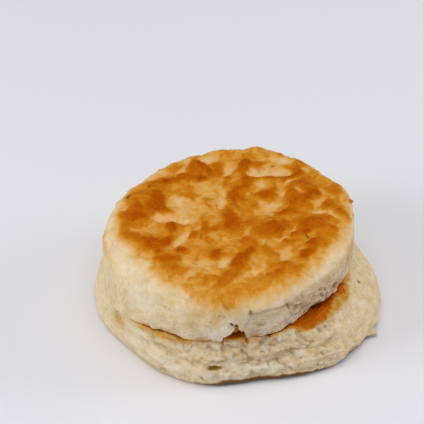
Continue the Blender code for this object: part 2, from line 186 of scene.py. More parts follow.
# Browning of the crust: middle's x and y, half length, half width, turn of the length, and the level it is
# brought to, from 0 (cream) to 1 (dark brown). Later marks lie over earlier ones.
GROUND_BROWN = 0.46
BROWN_MARKS = (
    # the back left
    (-15, 4, 8.5, 8, 90, 0.34), (-8, 13, 3.6, 7, 90, 0.34), (-30, 6, 9, 4.6, 78, 0.8),
    (-24.4, 8, 5, 2, 88, 0.98), (-22.8, 3.6, 3.4, 1.5, -18, 0.84), (-31, 0.4, 4.6, 1.9, 5, 0.92),
    (-28.2, 8.2, 3.4, 1.2, 80, 0.62), (-22, 16.6, 5, 1.4, 24, 0.92), (-15.4, 18.5, 4.6, 1.5, 6, 0.95),
    (-11.8, 18.4, 1.8, 1.3, 60, 1), (-13.2, 23.4, 4.2, 2.9, 70, 0.82), (-10.5, 23.2, 3.2, 1.3, -52, 0.98),
    (-16.6, 24.4, 4.2, 0.9, 72, 0.26), (-20.2, 22.6, 3.2, 1.8, 30, 0.5), (-24.4, 20, 2.6, 1.4, 30, 0.36),
    (-18.8, 14.4, 1.5, 1.1, 60, 0.36), (-15, 14.8, 2.4, 2, 0, 0.56), (-14.8, 10.8, 3, 1.2, -10, 0.6),
    (-6.5, 22.8, 2.9, 2.3, 80, 0.76), (-3, 22, 3.3, 1.5, 78, 0.2), (-3, 17.2, 2.3, 1.7, 70, 0.78),
    (-9.3, 27.8, 2.8, 2.2, 0, 0.08), (-4.2, 30.8, 3.2, 1.7, -20, 0.5), (-17.6, 6.8, 3.2, 1, 100, 0.1),
    (-15.6, 3, 3, 1.6, 20, 0.2), (-23.4, 0.6, 2, 1.1, -50, 0.12), (-18.8, -0.7, 5.4, 1.5, -6, 0.12),
    (-5, 11.4, 4.2, 0.9, 88, 0.1), (-5.2, 5.6, 2.4, 0.8, 92, 0.2), (-9.2, 6.4, 2.4, 0.5, 88, 0.56),
    (-28.6, 13.4, 2, 1.2, 40, 0.5), (-34.2, 4.6, 2.4, 1, 75, 0.42),
    # the back right
    (2.2, 23.4, 5, 1.9, 88, 0.96), (3, 17.2, 2.8, 1.9, 70, 0.82), (1.2, 14.2, 2.6, 1.8, 60, 0.8),
    (7, 16.2, 3.4, 1.1, 78, 0.24), (-0.8, 18.2, 2.4, 0.9, 62, 0.4), (11, 19.3, 5.2, 1.2, 4, 0.82),
    (14.8, 17.8, 2, 1.7, 20, 0.86), (17.4, 22.4, 3.6, 1.5, 66, 0.88), (18.4, 26, 2.8, 1.7, 20, 0.6),
    (20.6, 23, 2.2, 0.8, -52, 0.28), (13.2, 28, 3.6, 1.6, -8, 0.1), (8.2, 30.4, 1.8, 1, 0, 0.44),
    (6.2, 26, 2, 1.4, 0, 0.64), (10.6, 24, 2.6, 1.4, 0, 0.3), (8.6, 21.6, 5.4, 1.3, 6, 0.1),
    (5.3, 21.3, 1.9, 1.6, 40, 0), (13.5, 21.8, 1.9, 1.9, 30, 0.06), (19.6, 12.2, 5.6, 4.6, 100, 0.8),
    (23.2, 11, 1.8, 1.2, 20, 0.95), (18.2, 8, 2.2, 2, 60, 0.88), (18.8, 12.3, 1.8, 0.8, -48, 0.3),
    (16.2, 17.2, 3, 0.5, 38, 0.12), (12.5, 12.2, 4.2, 1.4, 86, 0.26), (8.4, 10.6, 3, 1.9, 8, 0.84),
    (10, 13.6, 1.5, 0.8, 80, 0.7), (9.2, 5, 2.5, 1.6, 40, 0.08), (9.4, 2.2, 1.8, 1, 0, 0.2),
    (14.2, 2.2, 3.2, 1.5, 24, 0.86), (17.2, 5.2, 2, 1.4, 40, 0.76), (26.4, 5.8, 2.4, 1.9, 40, 0.78),
    (25.4, 13.2, 3.2, 1, 62, 0.28), (23.6, 6.4, 3.4, 0.9, 66, 0.3), (28.8, 13.4, 3.4, 1.9, 108, 0.68),
    (31.4, 8.4, 3, 1.1, 105, 0.36), (31, 1.8, 2.8, 1, -62, 0.78), (24.6, 1.9, 2.9, 0.5, -2, 0.14),
    (28.4, 0.2, 1.8, 0.5, -55, 0.16),
    # the middle, down to the front left
    (-0.8, 7.6, 4.6, 2.5, 92, 0.88), (-2.6, -2, 4.4, 2.6, 96, 0.95), (1.9, 5.2, 2, 1.8, 0, 0.5),
    (4.6, 5.2, 1.4, 1, 70, 0.68), (3.4, -3.4, 2.4, 1.6, 20, 0.76), (2.4, -7.4, 3.2, 1, 52, 0.32),
    (-10, -4.2, 3.2, 0.9, 92, 0.78), (-7.4, -5.8, 2.6, 1.3, 30, 0.76), (-9.2, -11.2, 1.8, 1.3, 20, 0.72),
    (-13.6, -7.6, 2.5, 1.6, 80, 0.82), (-12.4, -4.6, 1.4, 0.8, 40, 0.28),
    (-15.6, -3.9, 2.6, 0.9, 20, 0.6), (-17, -9.8, 3.6, 1.1, 54, 0.12), (-19.8, -5, 2.6, 1.4, 84, 0.92),
    (-26.2, -6.5, 3.6, 1.4, 4, 0.38), (-33.4, -6, 3.4, 1.6, 80, 0.8), (-29.6, -10.6, 4.2, 1.8, -28, 0.86),
    (-25, -11.4, 3.6, 2, 0, 0.86), (-21.5, -12.2, 3.4, 1.1, 60, 1), (-24.6, -15.2, 3, 1.6, -30, 0.84),
    (-21, -16, 2, 0.9, 0, 0.6), (-22, -19.2, 2.4, 1.7, -10, 0.94), (-18.6, -19, 2, 1.5, 0, 0.78),
    (-16.6, -15.6, 2, 1.7, 20, 0.86), (-19.6, -22.6, 3, 1.8, -20, 0.7), (-18.6, -26, 3, 1.6, -10, 0.52),
    # the front
    (-12, -13.4, 3.4, 2.4, 10, 0.4), (-4.2, -11.6, 2.4, 1.8, 0, 0.4), (1.5, -11.8, 2, 1.6, 60, 0.76),
    (-6.6, -17, 2.6, 1.4, 110, 0.86), (-12.2, -20.4, 3.2, 1.3, 4, 0.2), (-9, -23.6, 2.8, 1.6, 0, 0.34),
    (-15, -26.8, 2.6, 0.9, 80, 0.26), (-4.5, -21.4, 1.7, 1.2, 76, 0), (3, -16.8, 2.6, 1.7, 64, 0.82),
    (1.2, -19.6, 2.4, 1.8, 60, 0.96), (-0.6, -22.8, 2.6, 1.6, 55, 0.9), (-3, -26.6, 3.4, 1.8, 58, 0.8),
    (-5.4, -30.4, 3, 1.6, 55, 0.64), (-8.4, -28.4, 2.4, 1.4, 20, 0.58), (7.8, -15.8, 1.8, 1.4, 0, 0.6),
    (10.6, -17.2, 1.6, 1.4, 80, 0.66), (4.6, -24.2, 5, 1.2, 46, 0.24), (11.2, -25.4, 2.6, 1.8, 60, 0.76),
    (7.4, -27.6, 2.8, 1.8, 30, 0.6), (9.8, -30.4, 2.8, 1.6, 20, 0.54), (1, -32, 2.6, 1.6, 40, 0.5),
    # the right
    (10, -6, 4.8, 3.2, 24, 0.86), (10.2, -4, 2, 1.2, 10, 0.95), (13.4, -9.9, 2.6, 0.45, 20, 0.26),
    (8.6, -12.4, 2.4, 1, 10, 0.36), (21, -3.4, 4.4, 2.8, 28, 0.88), (18.4, -7.6, 2.6, 1.2, 24, 0.96),
    (16.2, -6.2, 2.4, 0.4, 66, 0.34), (25.4, -1, 2.2, 1.3, -10, 0.76), (26.4, -5.4, 3.6, 1.6, -50, 0.76),
    (26, -8, 2.4, 1.8, -40, 0.6), (14.4, -12, 2.4, 1.3, 20, 0.74), (21.6, -13.2, 3, 1.7, 58, 1),
    (19.4, -17.4, 2.6, 1.5, 60, 0.94), (24.6, -13.4, 1.8, 1.6, 40, 0.66),
    (13.7, -16.6, 2.5, 1.4, 88, 0.14), (13.2, -21.6, 3, 1.3, 6, 0.82), (17, -23.2, 2.4, 1.6, 50, 0.62),
    (29.4, -8.6, 3, 1, 100, 0.44),
)
# Dark pits and scorched cracks of the crust: middle's x and y, half length, half width, turn, strength.
SPECKS = (
    (20.1, -9.4, 1, 0.4, -62, 1), (10.5, 25, 0.7, 0.4, 10, 0.7), (6.3, 23, 1, 0.35, -50, 0.35),
    (-26.9, 14.1, 0.5, 0.45, 0, 0.8), (-32.9, 9.2, 1.2, 0.5, 70, 0.9), (-21.7, 17, 0.8, 0.5, 30, 0.8),
    (-17.8, -15.5, 0.7, 0.45, 80, 0.7), (-11.7, 18.2, 0.6, 0.5, 0, 0.6), (-11.4, 20.8, 0.6, 0.4, 60, 0.5),
    (20.6, 14.4, 0.5, 0.45, 0, 0.5), (10.5, 3.1, 0.9, 0.3, -20, 0.5), (9.2, 1, 0.9, 0.35, 10, 0.45),
    (-6.6, 6.1, 1.7, 0.35, 100, 0.4), (-11.1, -8.9, 1.2, 0.25, 86, 0.7), (16.3, 20.2, 0.6, 0.5, 0, 0.5),
    (-12.5, -20.6, 0.9, 0.4, -20, 0.3), (5.2, -19.2, 0.5, 0.4, 0, 0.25), (-20.7, 12.5, 0.5, 0.4, 0, 0.4),
    (2.2, -19.4, 0.5, 0.3, 60, 0.3), (14.6, -22.6, 0.5, 0.3, 30, 0.25), (-9.6, 21.4, 0.5, 0.3, 60, 0.3),
)
# How far down the browning runs, measured from the middle of the lid over its rim, by bearing.
BROWN_EDGE = {
    0: 38, 30: 39.4, 60: 38.9, 90: 38.2, 120: 36.8, 150: 35.6, 170: 35, 182: 34.6, 192: 33.8, 203: 32.6,
    214: 31.8, 229: 32.8, 242: 34.8, 252: 37.8, 260: 41.4, 268: 40.6, 278: 38.6, 290: 37.6, 302: 36,
    314: 34.4, 328: 33.6, 341: 35.2,
}
# Browning of the ledge by bearing: radius where the deep brown ends, where the gold ends, brown level.
LEDGE_EDGE = {
    0: (31.5, 32, 0), 206: (38.4, 39, 0), 211: (40.2, 40.7, 0.12), 220: (40.3, 40.8, 0.2),
    225: (40.6, 41.7, 0.36), 228.5: (41, 42.4, 0.5), 232: (40.6, 42.5, 0.46), 235.5: (40, 42.1, 0.54),
    239: (39.4, 41.4, 0.46), 244: (39.4, 41.1, 0.44), 248.5: (39, 40.5, 0.4), 251: (37.6, 38.8, 0.36),
    254: (37.6, 38.7, 0.36), 257: (36.8, 37.7, 0.3), 260: (35.4, 36, 0.2), 262: (36.5, 37.1, 0.62),
    273: (36.2, 36.8, 0.58), 274.4: (36, 36.9, 0.2), 278: (36, 37.2, 0.34), 279.5: (35, 35.4, 0.2),
    281.5: (35.2, 35.9, 0.9), 284: (35.6, 36.3, 1.1), 287: (35.4, 36.1, 1.05), 290: (34.9, 35.6, 1),
    293.5: (34.2, 35, 1), 296: (34, 35.2, 1.05), 298: (34.6, 36, 1.1), 300.5: (35.3, 36.8, 1.1),
    303.5: (36, 37.5, 1.1), 309: (36.4, 38, 1.1), 313: (36, 38.4, 1.1), 316: (35.5, 38.6, 1.1),
    319: (35, 38.7, 1.1), 322: (34.5, 38.8, 1.05), 325: (33.9, 38.7, 1.05), 328: (33.4, 38.3, 1),
    331: (34, 37.9, 1), 334: (34.8, 37.5, 1), 337: (34.6, 36.7, 1), 340.2: (33.4, 35.4, 0.8),
    343: (32.8, 34.8, 0.5), 346.5: (33, 34.8, 0.5), 351: (32.8, 34.4, 0.45), 355: (32, 32.8, 0),
}
# Small pits of the ledge, darkened with painted shade, seen from above: x, y, radius, strength.
LEDGE_PITS = (
    (25.1, -28, 0.4, 0.7), (24.6, -27.2, 0.3, 0.4), (32, -24.6, 0.35, 0.25), (35.9, -7.9, 0.42, 1.2),
    (8.6, -34.6, 0.7, 1), (29.6, -27.4, 0.3, 0.25), (37, -17.2, 0.3, 0.2), (-27.2, -29.6, 0.5, 0.8),
    (-24.2, -31.6, 0.5, 0.6), (-22.2, -33, 0.45, 0.55),
)
# Flakes that stand out of the lid's rim: bearing, height, half size of both, reach, brown.
RIM_FLAKES = (
    (15.5, 28.9, 1, 0.6, 1, 1), (188.5, 28, 2, 0.9, 1, 0.3), (153, 29, 2.4, 0.8, 0.9, 0.5),
    (164, 28.6, 1.6, 0.7, 0.5, 0.5), (131, 29.2, 2, 0.7, 0.7, 0.4), (8, 27.6, 2, 0.8, 0.5, 0.4),
)
# Cuts in the sides: bearing and height of the start and of the end, half width, depth, darkness of their
# painted shade.
LID_CUTS = (
    (278.3, 26.2, 279, 24.6, 0.3, 0.6, 0.7), (296.6, 24.4, 297.6, 22.8, 0.42, 0.6, 0.6),
    (270.2, 21.9, 270.8, 21.3, 0.36, 0.9, 1), (318.6, 23.2, 319.6, 22.4, 0.4, 0.7, 0.6),
    (315.4, 24.6, 315.9, 23.9, 0.34, 0.5, 0.4), (311.6, 23.2, 312.8, 22.3, 0.4, 0.5, 0.4),
    (328, 20.4, 330.4, 18.6, 0.75, 1.8, 0.9), (315.6, 16.8, 318.8, 15.4, 0.8, 1.6, 0.9),
    (302.4, 23.4, 305.2, 21.2, 0.34, 0.35, 0.2), (305.2, 21.2, 309.4, 16.8, 0.4, 0.5, 0.25),
    (282, 19.7, 284.2, 19.3, 0.32, 0.4, 0.35), (310.2, 29.6, 312.4, 29, 0.22, 0.15, 0.2),
    (326.6, 28.8, 328.4, 28.4, 0.22, 0.12, 0.16), (249, 28.7, 249.8, 28.3, 0.26, 0.2, 0.2),
    (298.4, 21.2, 298.8, 20.2, 0.26, 0.3, 0.3), (239.4, 25.2, 240.2, 24.6, 0.24, 0.16, 0.2),
    (253, 20.6, 254, 19.8, 0.22, 0.14, 0.16), (267.8, 27.8, 268.4, 27, 0.3, 0.3, 0.35),
    (321, 20.4, 324.6, 16.6, 0.45, 0.7, 0.4), (256.6, 18.4, 257.4, 16.8, 0.22, 0.16, 0.2),
)
LOWER_CUTS = (
    (227.8, 10.2, 228.2, 8.7, 0.2, 0.25, 0.4), (229.2, 8.8, 230.4, 8.3, 0.3, 0.2, 0.25),
    (249.9, 12.4, 250.1, 10.9, 0.22, 0.35, 0.35), (244, 10.4, 246.4, 10, 0.24, 0.25, 0.25),
    (244.4, 6.7, 245, 6.1, 0.26, 0.2, 0.2), (258.2, 5.4, 259, 5.1, 0.22, 0.2, 0.2),
    (255.2, 3.6, 256.2, 3.1, 0.26, 0.4, 0.6), (237.4, 2.1, 239.4, 3.1, 0.3, 0.25, 0.25),
    (258.2, 11.5, 260, 11.2, 0.34, 0.3, 0.3), (271.6, 10.6, 273.4, 9.9, 0.26, 0.5, 0.6),
    (273.8, 9.6, 275, 9, 0.26, 0.5, 0.55), (272.2, 12.2, 273.4, 11.6, 0.34, 0.4, 0.45),
    (280.2, 9.9, 281.6, 9.7, 0.24, 0.45, 0.55), (277.6, 8.2, 278.6, 7.7, 0.24, 0.3, 0.35),
    (284.2, 11.4, 285.8, 10.9, 0.3, 0.35, 0.4), (287.6, 9.9, 289.2, 9.4, 0.26, 0.5, 0.6),
    (285, 7.9, 287.4, 6.1, 0.24, 0.35, 0.35), (287.4, 6.1, 290, 5.2, 0.24, 0.35, 0.3),
    (290, 5.2, 294.2, 2, 0.24, 0.3, 0.25), (290.4, 9.7, 296.4, 8.9, 0.3, 0.45, 0.35),
    (296.4, 8.9, 302.4, 8.5, 0.24, 0.3, 0.25), (302.4, 8.5, 308.6, 8.3, 0.24, 0.25, 0.2),
    (304.8, 6.8, 305.4, 6.3, 0.26, 0.4, 0.5), (307.6, 6.6, 313.4, 6.1, 0.24, 0.3, 0.25),
    (281.6, 6.8, 282.4, 6.2, 0.24, 0.3, 0.3), (263, 9.9, 264.6, 9.6, 0.24, 0.35, 0.35),
    (267.6, 10.2, 269, 9.8, 0.24, 0.35, 0.4), (296, 6.8, 299, 6.4, 0.22, 0.25, 0.2),
)
# Faint browning down the lid's side: bearing, height, half size of both, strength.
LID_STAINS = (
    (196, 27, 10, 2.4, 0.14), (187, 26, 5, 3, 0.2), (256, 26.8, 9, 3.6, 0.12), (262.5, 24.6, 4, 3, 0.12),
    (264, 22.6, 2.4, 1.6, 0.12), (270, 27.6, 7, 2.2, 0.14), (284, 28.6, 9, 1.6, 0.14),
    (342, 28.4, 8, 1.4, 0.18), (246, 28.2, 8, 2.2, 0.1),
)
# Yellowish tan stains of both sides, in the same terms; the wide patch at bearing 344 darkens the lid's
# right wall as a whole.
LID_TANS = (
    (253.4, 20.8, 3.4, 2.2, 0.55), (245.2, 20.4, 1, 1.6, 0.5), (251, 22.4, 1.6, 0.8, 0.4),
    (263.6, 23.8, 1.6, 0.8, 0.5), (262, 21.6, 2.2, 1.6, 0.4), (257, 18, 2.4, 1.4, 0.25),
    (244, 17.6, 2, 1.4, 0.35), (221, 17.6, 3, 1.6, 0.2), (240, 15.8, 4.4, 0.7, 0.9),
    (230.4, 15, 2, 0.6, 0.9), (257.4, 15.4, 3, 0.8, 0.8), (282.6, 20.2, 2.4, 0.6, 0.8),
    (279.4, 18.2, 1.6, 1.8, 0.4), (280.6, 15.6, 1.6, 0.9, 0.8), (278.4, 25.6, 0.6, 0.9, 0.8),
    (324, 18, 2.2, 2.6, 0.3), (318, 24, 2, 1, 0.5), (312, 23.4, 2.4, 0.9, 0.45), (335, 19, 3, 1.6, 0.3),
    (326, 27.4, 9, 1.6, 0.7), (344, 23.6, 7, 3.4, 0.5), (296, 24.6, 1.2, 1, 0.6),
    (302, 25.6, 4, 1.4, 0.25), (316, 26.4, 5, 1.6, 0.4), (236, 25, 1.6, 0.8, 0.3),
    (239, 28.4, 2.4, 0.8, 0.25),
)
LOWER_TANS = (
    (211.6, 9, 4, 2.2, 0.95), (209.6, 11.2, 3, 0.9, 0.9), (208, 6.6, 2, 1.6, 0.5),
    (217, 12.2, 6, 0.6, 0.4), (232, 12.6, 5, 0.8, 0.5), (240, 12.4, 4, 0.7, 0.5),
    (251.2, 7.6, 1.7, 1.6, 0.7), (245, 6.6, 1.6, 0.9, 0.45), (243, 9.8, 2.4, 0.6, 0.45),
    (238.4, 2.6, 1.4, 0.8, 0.7), (222, 2, 2.4, 0.8, 0.35), (232, 2, 2.6, 0.8, 0.4),
    (260.4, 6.9, 2.8, 0.7, 0.6), (267, 5.6, 3, 0.5, 0.4), (292.6, 9.6, 2.4, 0.4, 0.95),
    (286.2, 7.4, 1.8, 0.8, 0.75), (289, 5.4, 2, 0.9, 0.45), (294.4, 6, 1.6, 2, 0.5),
    (302, 8, 2.4, 0.9, 0.5), (307.6, 9, 3, 1, 0.45), (252, 12.2, 4, 0.8, 0.4), (262, 12.4, 3, 0.5, 0.4),
    (274.8, 12.6, 3, 0.7, 0.5), (313, 11.4, 5, 0.7, 0.4), (235, 9.6, 2, 0.7, 0.35),
    (271, 9.6, 4, 0.6, 0.4), (277, 10.8, 1.6, 0.5, 0.6), (282.6, 8.6, 1.4, 0.4, 0.6),
    (265, 11.2, 1.8, 0.5, 0.5), (299.6, 11.4, 2.4, 0.5, 0.5), (229, 6, 2.4, 1, 0.3),
    (297, 3.4, 2.4, 0.8, 0.4), (316, 7, 4, 1, 0.3),
)
# Pale torn skin and flakes of both sides, partly painted highlight on lit edges and bands, in the same
# terms.
LID_PALES = (
    (263.6, 18, 4.6, 2, 0.8), (267, 20, 2.4, 2, 0.8), (262.6, 15.8, 3.2, 0.7, 0.8),
    (269.4, 22.4, 1.4, 1.2, 0.7), (278.4, 21.4, 2, 1.4, 0.4), (286, 17.4, 5, 1.2, 0.4),
    (290, 19.6, 6, 1.6, 0.3), (228, 24, 8, 3, 0.3), (247.6, 25.6, 3, 2.4, 0.35),
    (276.4, 24.4, 1.4, 2, 0.3), (296, 27, 8, 0.9, 0.4), (249, 17, 2, 1.4, 0.3),
)
LOWER_PALES = (
    (262, 4.2, 5, 0.9, 0.6), (273, 6, 6, 1.3, 0.5), (284, 5.2, 5, 1.2, 0.45), (240, 5.4, 9, 1.4, 0.35),
    (222, 5.6, 6, 2, 0.35), (268.6, 8.2, 2.4, 0.7, 0.35), (280, 9, 3, 0.5, 0.35),
    (296, 8, 2.6, 0.6, 0.35), (227, 9.6, 4, 1.2, 0.3),
)

# --- fields -----------------------------------------------


def by_bearing(table, bearing):
    """A smooth closed curve through the table's values, read at each bearing."""
    whole = np.arange(720) * 0.5
    keys = sorted(table)
    line = np.interp(whole, keys, [table[key] for key in keys], period=360)
    turns = np.fft.rfftfreq(720, d=1.0 / 720)
    soft = np.fft.irfft(np.fft.rfft(line) * np.exp(-((turns / 17.0) ** 2)), 720)
    return np.interp(np.mod(bearing, 360), whole, soft, period=360)


def read(table, value):
    """The table's values, read along straight lines between its keys."""
    return np.interp(value, list(table), list(table.values()))


def smooth(low, high, value):
    """0 at the low value, 1 at the high one, with soft ends."""
    share = np.clip((value - low) / (high - low), 0.0, 1.0)
    return share * share * (3 - 2 * share)


def between(span, fade, value):
    """1 inside the span, 0 outside, fading over its ends."""
    start, end = span
    return smooth(start - fade, start + fade, value) * (1 - smooth(end - fade, end + fade, value))


def highest(*values):
    """The greatest of several fields at each point."""
    return np.maximum.reduce(values)


def past_front(bearing):
    """The bearing, running on past 360 at the right."""
    return np.where(bearing < 90, bearing + 360, bearing)


def hash_noise(column, row, layer, seed):
    """A random number from -1 to 1 for each whole place."""
    mixed = np.sin(column * 127.1 + row * 311.7 + layer * 74.7 + seed * 53.3) * 43758.5453
    return (mixed - np.floor(mixed)) * 2 - 1


def noise(x, y, z, size, seed):
    """Value noise in space, from -1 to 1, with lumps about as wide as the size given."""
    px, py, pz = x / size + seed * 7.13, y / size - seed * 3.71, z / size + seed * 1.37
    cx, cy, cz = np.floor(px), np.floor(py), np.floor(pz)
    fx, fy, fz = px - cx, py - cy, pz - cz
    fx, fy, fz = (f * f * (3 - 2 * f) for f in (fx, fy, fz))
    total = 0.0
    for i in (0, 1):
        for j in (0, 1):
            for k in (0, 1):
                weight = np.abs(1 - i - fx) * np.abs(1 - j - fy) * np.abs(1 - k - fz)
                total = total + weight * hash_noise(cx + i, cy + j, cz + k, seed)
    return total


def noises(x, y, z, *parts):
    """A sum of noises, each given by its amount, size and seed."""
    total = 0.0
    for amount, size, seed in parts:
        total = total + amount * noise(x, y, z, size, seed)
    return total


def cells(x, y, z, size, seed):
    """Distance to the nearest of a scatter of points, one in each cube of the size given, in cube widths."""
    px, py, pz = x / size, y / size, z / size
    cx, cy, cz = np.floor(px), np.floor(py), np.floor(pz)
    nearest = np.full(np.shape(px), 9.0)
    for i in (-1, 0, 1):
        for j in (-1, 0, 1):
            for k in (-1, 0, 1):
                gx, gy, gz = cx + i, cy + j, cz + k
                dx = gx + 0.5 + 0.45 * hash_noise(gx, gy, gz, seed) - px
                dy = gy + 0.5 + 0.45 * hash_noise(gx, gy, gz, seed + 1) - py
                dz = gz + 0.5 + 0.45 * hash_noise(gx, gy, gz, seed + 2) - pz
                nearest = np.minimum(nearest, dx * dx + dy * dy + dz * dz)
    return np.sqrt(nearest)


def turned(x, y, turn):
    """How far a place lies along a direction and across it."""
    angle = np.radians(turn)
    return x * np.cos(angle) + y * np.sin(angle), y * np.cos(angle) - x * np.sin(angle)


def spread(x, y, middle_x, middle_y, length, width, turn):
    """Square of the distance from a mark's middle, in its own half lengths and half widths."""
    along, across = turned(x - middle_x, y - middle_y, turn)
    return (along / length) ** 2 + (across / width) ** 2


def swell(x, y, *mark):
    """1 at the middle of a mark, fading round it like a low hill."""
    return np.exp(-spread(x, y, *mark))


def patch(x, y, *mark):
    """Like swell, with a flatter top and a quicker edge."""
    return 1.0 / (1.0 + spread(x, y, *mark) ** 2.4)


# --- the same form as the solids --------------------------


def split_relief(x, y):
    """How far the split lies above its level."""
    bearing = np.degrees(np.arctan2(y, x))
    rim = (by_bearing(SPLIT_LEVEL, bearing) - SPLIT_Z) * smooth(12.0, 36.0, np.hypot(x, y))
    return rim + noises(x, y, 0 * x, (0.3, 17, 3), (0.15, 8, 5))


def crust_relief(x, y):
    """Blisters and hollows of the crust."""
    total = 0.3 * noise(x, y, 0 * x, 7.0, 31)
    for *mark, height in CRUST_MARKS:
        total = total + RELIEF_SCALE * height * swell(x, y, *mark)
    return total


def lower_radius(bearing, z):
    """Radius of the lower half's side."""
    foot, brow = by_bearing(FOOT, bearing), by_bearing(BROW, bearing)
    rise = np.clip((z - BULGE_Z) / (SPLIT_Z - 1.2 - BULGE_Z), 0.0, 1.1)
    power = 1.7 + 0.5 * np.cos(np.radians(bearing))
    under = np.clip((BULGE_Z - z) / BULGE_Z, 0.0, 1.0)
    return foot - (foot - brow) * rise**power - 2.6 * (1 - np.sqrt(1 - under**2))


def layer_relief(bearing, z):
    """How far the flaky layers of the lower front stand out."""
    wander = 0.7 * np.sin(np.radians(bearing * 5)) + 0.5 * np.sin(np.radians(bearing * 11 + 40))
    total = 0.0
    for level, out in LAYERS:
        total = total + out * np.exp(-(((z - level - wander) / 0.9) ** 2))
    return total * between(LAYER_BEARINGS, 9.0, bearing)


def lid_radius(bearing, z):
    """Radius of the lid's side about the lid's own middle."""
    hem, waist = by_bearing(HEM, bearing), by_bearing(WAIST, bearing)
    shoulder = by_bearing(SHOULDER, bearing)
    low = smooth(SPLIT_Z + 0.5, 20.5, z)
    high = smooth(20.0, 28.5, z)
    return hem * (1 - low) + waist * low + (shoulder - waist + 1.4) * high


def notch(bearing, z):
    """1 inside the torn notch at the lid's front: a leaning three-cornered gap, narrow at the top."""
    turn = bearing + noises(bearing * 1.2, z, 0 * z, (0.4, 1.4, 85), (0.2, 0.6, 87))
    left, right = read(NOTCH_LEFT, z), read(NOTCH_RIGHT, z)
    inside = smooth(left - 0.35, left + 0.35, turn) * smooth(right + 0.35, right - 0.35, turn)
    return inside * (z < NOTCH_TOP)


def torn_front(bearing, z):
    """How far the torn step, the bays and the notch cut into the lid."""
    top = read(TEAR_TOP, bearing)
    inside = between((min(TEAR_TOP), max(TEAR_TOP)), 2.5, bearing)
    total = TEAR_DEPTH * inside * (1 - smooth(top - TEAR_SOFTNESS, top + TEAR_SOFTNESS, z))
    for middle, half_width, depth, height in HEM_BAYS:
        bay = np.exp(-(((bearing - middle) / half_width) ** 4))
        total = total + depth * bay * (1 - smooth(SPLIT_Z - 0.5, SPLIT_Z - 0.5 + height, z))
    return total + NOTCH_DEPTH * notch(bearing, z)


def hem_reach(x, y):
    """How far outside the lid's hem a point lies, seen from above; below 0 it is under the lid."""
    across, back = x - LID_CENTRE[0], y - LID_CENTRE[1]
    bearing = np.mod(np.degrees(np.arctan2(back, across)), 360)
    level = 0 * x + SPLIT_Z + 0.9
    return np.hypot(across, back) - lid_radius(bearing, level) + torn_front(bearing, level)


def arc(centre, radii, start, stop, count):
    """Points on a round stretch of a profile."""
    turn = np.radians(np.linspace(start, stop, count))
    return [(centre[0] + radii[0] * np.cos(t), centre[1] + radii[1] * np.sin(t)) for t in turn]


def lower_side():
    """The lower half's side as radius and height, from the brow down."""
    brow = arc((LOWER_BROW - 2.4, SPLIT_Z - 2.4), (2.4, 2.4), 80, 10, 9)
    shares = ((0.2, 10.4), (0.38, 9.2), (0.55, 7.9), (0.7, 6.6), (0.84, 5.3), (0.95, 4.0))
    flank = [(LOWER_BROW + share * (LOWER_RADIUS - LOWER_BROW), z) for share, z in shares]
    foot = arc((LOWER_RADIUS - 2.6, BULGE_Z), (2.6, BULGE_Z), 0, -82, 10)
    return brow + flank + foot


def lid_side():
    """The lid's side as radius and height, from the shoulder down."""
    shoulder = arc((LID_RADIUS - 4.6, LID_TOP_Z - 5.0), (4.6, 5.0), 75, 0, 14)
    wall = [(LID_RADIUS, z) for z in (23.6, 22.0, 20.4, 18.9, 17.6, 16.5)]
    hem = [(LID_RADIUS, SPLIT_Z + 1.6), (LID_RADIUS - 0.1, SPLIT_Z + 0.7), (LID_RADIUS - 0.6, SPLIT_Z + GAP)]
    return shoulder + wall + hem


# --- meshes -----------------------------------------------


def even_steps(profile, step):
    """The profile resampled to steps of about one length."""
    profile = np.array(profile)
    run = np.concatenate([[0.0], np.cumsum(np.hypot(*np.diff(profile, axis=0).T))])
    count = int(math.ceil(run[-1] / step)) + 1
    at = np.linspace(0.0, run[-1], count)
    return np.stack([np.interp(at, run, profile[:, 0]), np.interp(at, run, profile[:, 1])], axis=1)


def disc_points(count):
    """A square grid of points squeezed evenly into a unit disc; its border is a ring of 4 * count points."""
    line = np.linspace(-1.0, 1.0, count + 1)
    u, v = np.meshgrid(line, line)
    wide = np.abs(u) > np.abs(v)
    with np.errstate(divide="ignore", invalid="ignore"):
        turn = np.where(wide, math.pi / 4 * v / u, math.pi / 2 - math.pi / 4 * u / v)
    reach = np.where(wide, u, v)
    turn = np.where((u == 0) & (v == 0), 0.0, turn)
    return reach * np.cos(turn), reach * np.sin(turn)


def border_indices(count):
    """The grid's border as indices, counter-clockwise from its lower left corner."""
    side = count + 1
    bottom = [i for i in range(count)]
    right = [count + i * side for i in range(count)]
    top = [count * side + count - i for i in range(count)]
    left = [(count - i) * side for i in range(count)]
    return np.array(bottom + right + top + left)


def ring_points(radius, turn, height):
    """Points of one level ring."""
    return np.stack([radius * np.cos(turn), radius * np.sin(turn), np.full(turn.size, height)], axis=1)


def ring_quads(above, below):
    """Quads between two rings."""
    return np.stack([above, below, np.roll(below, -1), np.roll(above, -1)], axis=1)


def capped_turn(count, cap_radius, cap_z, side, under):
    """Points and quads of a turned body: an even grid for its upper face, then rings down the side and in
    under it, closed by a last fan of triangles about the middle of the underside."""
    gx, gy = disc_points(count)
    points = [np.stack([gx.ravel() * cap_radius, gy.ravel() * cap_radius, np.full(gx.size, cap_z)], axis=1)]
    above, start = border_indices(count), gx.size
    turn = np.arctan2(gy.ravel()[above], gx.ravel()[above])
    side_count = count + 1
    rows = np.arange(count)[:, None] * side_count + np.arange(count)[None, :]
    quads = [np.stack([rows, rows + 1, rows + side_count + 1, rows + side_count], axis=-1).reshape(-1, 4)]
    for radius, height in np.concatenate([side, under]):
        points.append(ring_points(radius, turn, height))
        ring = np.arange(start, start + turn.size)
        quads.append(ring_quads(above, ring))
        above, start = ring, start + turn.size
    points.append(np.array([[0.0, 0.0, under[-1][1]]]))
    fan = np.stack([above, np.full(turn.size, start), np.roll(above, -1)], axis=1)
    return np.concatenate(points), np.concatenate(quads), fan


